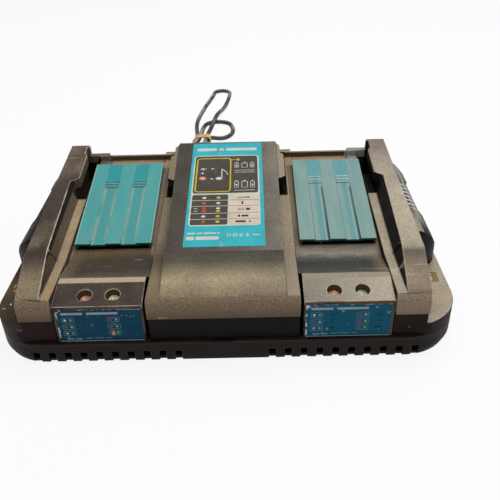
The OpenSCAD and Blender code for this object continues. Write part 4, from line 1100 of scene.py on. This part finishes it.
class CHARGER_OT_top_label(Operator):
    """Prints the pictogram label on the sloping top of the hump"""
    bl_idname = "charger.top_label"
    bl_label = "Top Label"

    # middle along, middle up, width, height and corner of the plain bars for a heading and a rating
    BARS = ((-18.2, 65.2, 18.0, 4.4, 1.5), (-5.2, 65.2, 4.0, 4.4, 1.5), (12.6, 65.2, 27.6, 4.4, 1.5),
            (-25.6, -52.6, 6.6, 1.7, 0.5), (-19.0, -52.6, 4.4, 1.7, 0.5), (-11.0, -52.6, 9.4, 1.7, 0.5),
            (-4.6, -52.6, 1.8, 1.7, 0.5), (-26.0, -58.4, 6.0, 4.0, 0.9), (-13.0, -58.4, 17.4, 4.0, 0.9))
    SMALL_FRAMES = ((3.2, 3.2, 3.2), (8.0, 3.2, 3.2), (12.6, 2.2, 3.2), (17.3, 1.8, 3.4), (24.2, 6.4, 1.3))
    # the table's dots: height of the row, and the colours of its left and right one
    DOTS = ((-7.6, -17.4, "white", "yellow"), (-15.0, -17.2, "orange", "white"),
            (-21.9, -17.0, "orange", "white"), (-25.4, -17.0, "orange", "yellow"),
            (-32.0, -17.2, "white", "yellow"), (-38.9, -17.0, "orange", "yellow"))
    DASHES = ((14.0, -7.6, 9.4, 0.9), (18.2, -7.6, 2.4, 1.6), (13.6, -15.0, 1.5, 4.0),
              (18.0, -23.4, 3.2, 2.8), (11.0, -32.0, 2.0, 2.6), (15.6, -32.0, 5.4, 2.4),
              (12.2, -39.0, 8.0, 2.4), (19.4, -39.0, 1.6, 1.6))

    def table(self, s):
        """White outline with the dark panel above, and the table of dots below."""
        s.plate("white", -0.4, 5.6, 56.4, 99.2, 1, 3.4)
        s.plate("panel", -0.4, 26.3, 54.0, 55.4, 2, 2.4)
        s.plate("panel", -12.7, -23.0, 29.2, 39.2, 2, 1.6)
        s.plate("cream", 14.4, -23.0, 24.6, 39.2, 2, 1.6)
        for v in (-11.1, -18.8, -28.2, -35.6):
            s.plate("white", -12.7, v, 29.2, 0.55, 3)
            s.plate("ink", 14.4, v, 24.6, 0.35, 3)
        for v, at, left, right in self.DOTS:
            s.disc(left, at, v, 3.4, 2.9, 3)
            s.disc(right, -5.8, v, 3.4, 2.9, 3)
        for v in (-21.9, -25.2):
            s.plate("white", -23.8, v, 3.0, 0.7, 3)
        for dash in self.DASHES:
            s.plate("ink", *dash, 3, 0.3)
        s.frame("ink", 12.4, -23.4, 4.6, 2.6, 0.45, 3, 0.8)

    def sound_signs(self, s):
        """Yellow frame with its leader, a speaker, a plus, a crossed ring and a note."""
        s.frame("yellow", -11.1, 25.6, 30.2, 50.8, 1.2, 3, 3.4)
        s.plate("yellow", 6.0, 48.2, 4.8, 0.7, 3)
        s.disc("yellow", 9.8, 48.2, 2.6, 3.6, 3)
        s.plate("white", -21.4, 34.2, 1.8, 1.6, 3)
        s.plate("white", -19.9, 34.2, 1.3, 3.2, 3, 0.3)
        s.plate("white", -17.9, 34.2, 0.5, 2.6, 3)
        s.plate("white", -20.6, 27.8, 2.4, 0.8, 3)
        s.plate("white", -20.6, 27.8, 0.8, 2.9, 3, lift=0.01)
        s.disc("orange", -20.2, 20.2, 6.6, 5.6, 3, 24)
        s.disc("white", -20.2, 20.2, 4.8, 3.9, 4, 24)
        s.plate("orange", -20.2, 20.2, 4.6, 0.7, 5, turn=35)
        s.plate("white", -12.0, 34.3, 2.6, 1.3, 3, 0.5)
        s.plate("white", -12.3, 19.2, 2.6, 1.3, 3, 0.5)
        s.disc("white", -6.3, 19.7, 5.4, 4.2, 3, 24)
        s.plate("white", -4.0, 27.0, 0.9, 14.6, 3)
        s.plate("white", -2.2, 31.6, 5.6, 0.9, 3, turn=-52)
        s.plate("white", 0.6, 27.0, 4.4, 0.9, 3, turn=-75)

    def packs(self, s):
        """Two rows of plain battery outlines, with lines below them."""
        for v, height in ((39.0, 7.0), (10.4, 9.0)):
            for at, width in ((8.6, 3.6), (15.4, 5.2), (22.0, 3.6)):
                s.frame("white", at, v, width, height, 0.45, 3, 0.8)
                s.plate("white", at, v + height / 2 + 0.9, width * 0.45, 0.9, 3)
            for at in (8.6, 22.0):
                s.plate("white", at, v - 0.6, 1.4, 2.6, 3)
        for v in (31.4, 28.4, 2.2):
            s.plate("white", 15.4, v, 17.0, 0.6, 3)

    def execute(self, context):
        s = Sheet("top_label", {
            **inks("top_label", film=context.scene.charger_colours.top_label, white="#d9dcd2"),
            "panel": film_finish("top_label_panel", "#564f49", scuffs=0.05),
            "cream": film_finish("top_label_cream", "#e2d3c0", scuffs=0.1),
            **inks("top_label", yellow="#d3c23c", orange="#cf5a3a", ink="#4a443f")})
        s.plate("film", 0, 3.65, *TOP_LABEL_SIZE, 0, 0.4)
        for *bar, corner in self.BARS:
            s.plate("white", *bar, 1, corner)
        for at, width, height in self.SMALL_FRAMES:
            s.frame("white", at, -55.4, width, height, 0.6, 1, 0.4)
        self.table(s)
        self.sound_signs(s)
        self.packs(s)
        height = BODY_TOP - (REAR_Y - TOP_LABEL_Y) * math.tan(TOP_SLOPE)
        s.lay((0, TOP_LABEL_Y, height), (1, 0, 0), (0, math.cos(TOP_SLOPE), math.sin(TOP_SLOPE)))
        return {"FINISHED"}


def press_spring(spring, name):
    """Finds a return spring's rear end along its cover's slide, and gives the spring a mesh of its own."""
    joint = next(joint for joint in frame["joints"] if joint["name"] == name)
    axis = Vector(joint["axis"]).normalized()
    reach = [vertex.co.dot(axis) for vertex in spring.data.vertices]
    rear_end = spring.data.vertices[reach.index(max(reach))].co
    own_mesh(spring)


class CHARGER_OT_inner_parts(Operator):
    """Gives the pieces that stay as they are their finishes"""
    bl_idname = "charger.inner_parts"
    bl_label = "Other Finishes"

    # name, two colours, size of the mottling, roughness, metallic, and the nodes
    FINISHES = (
        ("block_nylon", "#1d1d1e", "#2c2b2b", 60, (0.4, 0.55), 0.0,
         "terminal_block_left terminal_block_right power_transistors buzzer"),
        ("contact_brass", "#c9a55a", "#a17a3c", 200, (0.25, 0.4), 1.0,
         "contact_blades_left contact_blades_right plug_pins"),
        ("bright_steel", "#c9c9cb", "#9d9d9f", 200, (0.25, 0.4), 1.0, "housing_screws board_screws"),
        ("spring_steel", "#a8a8ab", "#7d7d80", 200, (0.28, 0.42), 1.0,
         "cover_spring_left cover_spring_right"),
        ("board_green", "#1d5a33", "#123f24", 120, (0.35, 0.5), 0.0,
         "lamp_board_left lamp_board_right main_board"),
        ("ferrite", "#33302f", "#45413f", 150, (0.5, 0.65), 0.0, "transformer_core"),
        ("enamelled_copper", "#b5722f", "#8a4d1c", 300, (0.25, 0.4), 0.8, "transformer_coil line_choke"),
        ("capacitor_sleeve", "#23304a", "#18223a", 150, (0.3, 0.45), 0.0, "electrolytic_capacitors"),
        ("sink_aluminium", "#b3b6b8", "#8f9294", 150, (0.3, 0.45), 1.0, "heat_sinks"),
        ("fuse_glass", "#c9d3d0", "#aab5b2", 150, (0.1, 0.2), 0.0, "line_fuse"),
        ("fan_plastic", "#1b1b1c", "#2a2a2a", 60, (0.4, 0.55), 0.0,
         "fan_frame_left fan_frame_right fan_rotor_left fan_rotor_right"),
        ("boot_rubber", "#262525", "#383535", 60, (0.4, 0.55), 0.0, "strain_relief"),
    )

    def execute(self, context):
        for name, colour, other, scale, rough, metallic, nodes in self.FINISHES:
            finish = plain_finish(name, colour, other, scale, rough, Metallic=metallic)
            for node in nodes.split():
                for slot in frame["nodes"][node].material_slots:
                    slot.material = finish
        for side in SIDES:
            press_spring(frame["nodes"]["cover_spring_" + side], "cover_" + side + "_slide")
        return {"FINISHED"}


class CHARGER_OT_studio(Operator):
    """Adds the pale floor, the lights and the even sky"""
    bl_idname = "charger.studio"
    bl_label = "Studio"

    # in metres: where the lights stand, how wide they are and what they look at
    LIGHTS = (("key", (0.35, 0.35, 1.25)), ("fill", (-0.3, -1.1, 0.75)))
    LIGHT_SIZE = 0.9
    AIM = Vector((0.0, 0.0, 0.05))
    # a little below the feet, so that the two don't meet in one plane
    FLOOR_PLACE = (0, 1, -0.0002)
    FLOOR_SIZE = 8

    def floor(self, shadow):
        """A floor that looks as white as the backdrop, but for a share of its shadow."""
        pick()
        bpy.ops.mesh.primitive_plane_add(size=self.FLOOR_SIZE, location=self.FLOOR_PLACE)
        floor = bpy.context.object
        floor.name = "floor"
        finish = Finish("floor_paper", Roughness=0.9)
        finish.feed(finish.shader.inputs["Base Color"], (1.0, 1.0, 1.0))
        glow = finish.node("Emission", {"Color": (1, 1, 1), "Strength": 1.0})
        rays = finish.node("LightPath")
        seen = finish.math("MAXIMUM", rays.outputs["Is Camera Ray"], rays.outputs["Is Glossy Ray"])
        seen = finish.math("MAXIMUM", seen, rays.outputs["Is Transmission Ray"])
        blend = finish.node("MixShader", {0: finish.times(seen, 1.0 - shadow), 1: finish.shader.outputs[0],
                                          2: glow.outputs[0]})
        finish.links.new(blend.outputs[0], finish.nodes["Material Output"].inputs["Surface"])
        floor.data.materials.append(finish.material)

    def sky(self, scene, strength):
        """An even light from all sides, which the camera sees as white."""
        world = bpy.data.worlds.new("even_sky")
        scene.world = world
        world.use_nodes = True
        nodes, links = world.node_tree.nodes, world.node_tree.links
        backdrop = nodes["Background"]
        backdrop.inputs["Color"].default_value = (1, 1, 1, 1)
        paths = nodes.new("ShaderNodeLightPath")
        level = nodes.new("ShaderNodeMapRange")
        level.inputs["To Min"].default_value = strength
        level.inputs["To Max"].default_value = 1.0
        links.new(paths.outputs["Is Camera Ray"], level.inputs["Value"])
        links.new(level.outputs[0], backdrop.inputs["Strength"])

    def execute(self, context):
        studio = context.scene.charger_studio
        self.floor(studio.shadow)
        self.sky(context.scene, studio.sky)
        for name, place in self.LIGHTS:
            data = bpy.data.lights.new(name, "AREA")
            data.size = self.LIGHT_SIZE
            data.energy = getattr(studio, name + "_power")
            lamp = added(name, data)
            lamp.location = place
            lamp.rotation_euler = (self.AIM - Vector(place)).to_track_quat("-Z", "Y").to_euler()
        context.scene.view_settings.view_transform = "Standard"
        return {"FINISHED"}


class CHARGER_PT_panel(Panel):
    """Lists the charger's pieces"""
    bl_idname = "CHARGER_PT_panel"
    bl_label = "Two-Bay Charger"
    bl_space_type = "VIEW_3D"
    bl_region_type = "UI"
    bl_category = "Charger"

    def draw(self, context):
        column = self.layout.column()
        for step in STEPS:
            column.operator(step.bl_idname)
        for settings in SETTINGS:
            group = getattr(context.scene, settings)
            for name in group.__annotations__:
                column.prop(group, name)


SETTINGS = {"charger_sizes": ChargerSizes, "charger_colours": ChargerColours, "charger_studio": ChargerStudio}
STEPS = (CHARGER_OT_camera, CHARGER_OT_cord, CHARGER_OT_tie, CHARGER_OT_plug, CHARGER_OT_shells,
         CHARGER_OT_covers, CHARGER_OT_lenses, CHARGER_OT_front_labels, CHARGER_OT_ledge_marks,
         CHARGER_OT_top_label, CHARGER_OT_inner_parts, CHARGER_OT_studio)
CLASSES = (*SETTINGS.values(), *STEPS, CHARGER_PT_panel)


def register():
    for item in CLASSES:
        bpy.utils.register_class(item)
    for name, group in SETTINGS.items():
        setattr(bpy.types.Scene, name, PointerProperty(type=group))


def unregister():
    for name in SETTINGS:
        delattr(bpy.types.Scene, name)
    for item in reversed(CLASSES):
        bpy.utils.unregister_class(item)


def main():
    register()
    for step in STEPS:
        group, name = step.bl_idname.split(".")
        getattr(getattr(bpy.ops, group), name)()


if __name__ == "__main__":
    main()
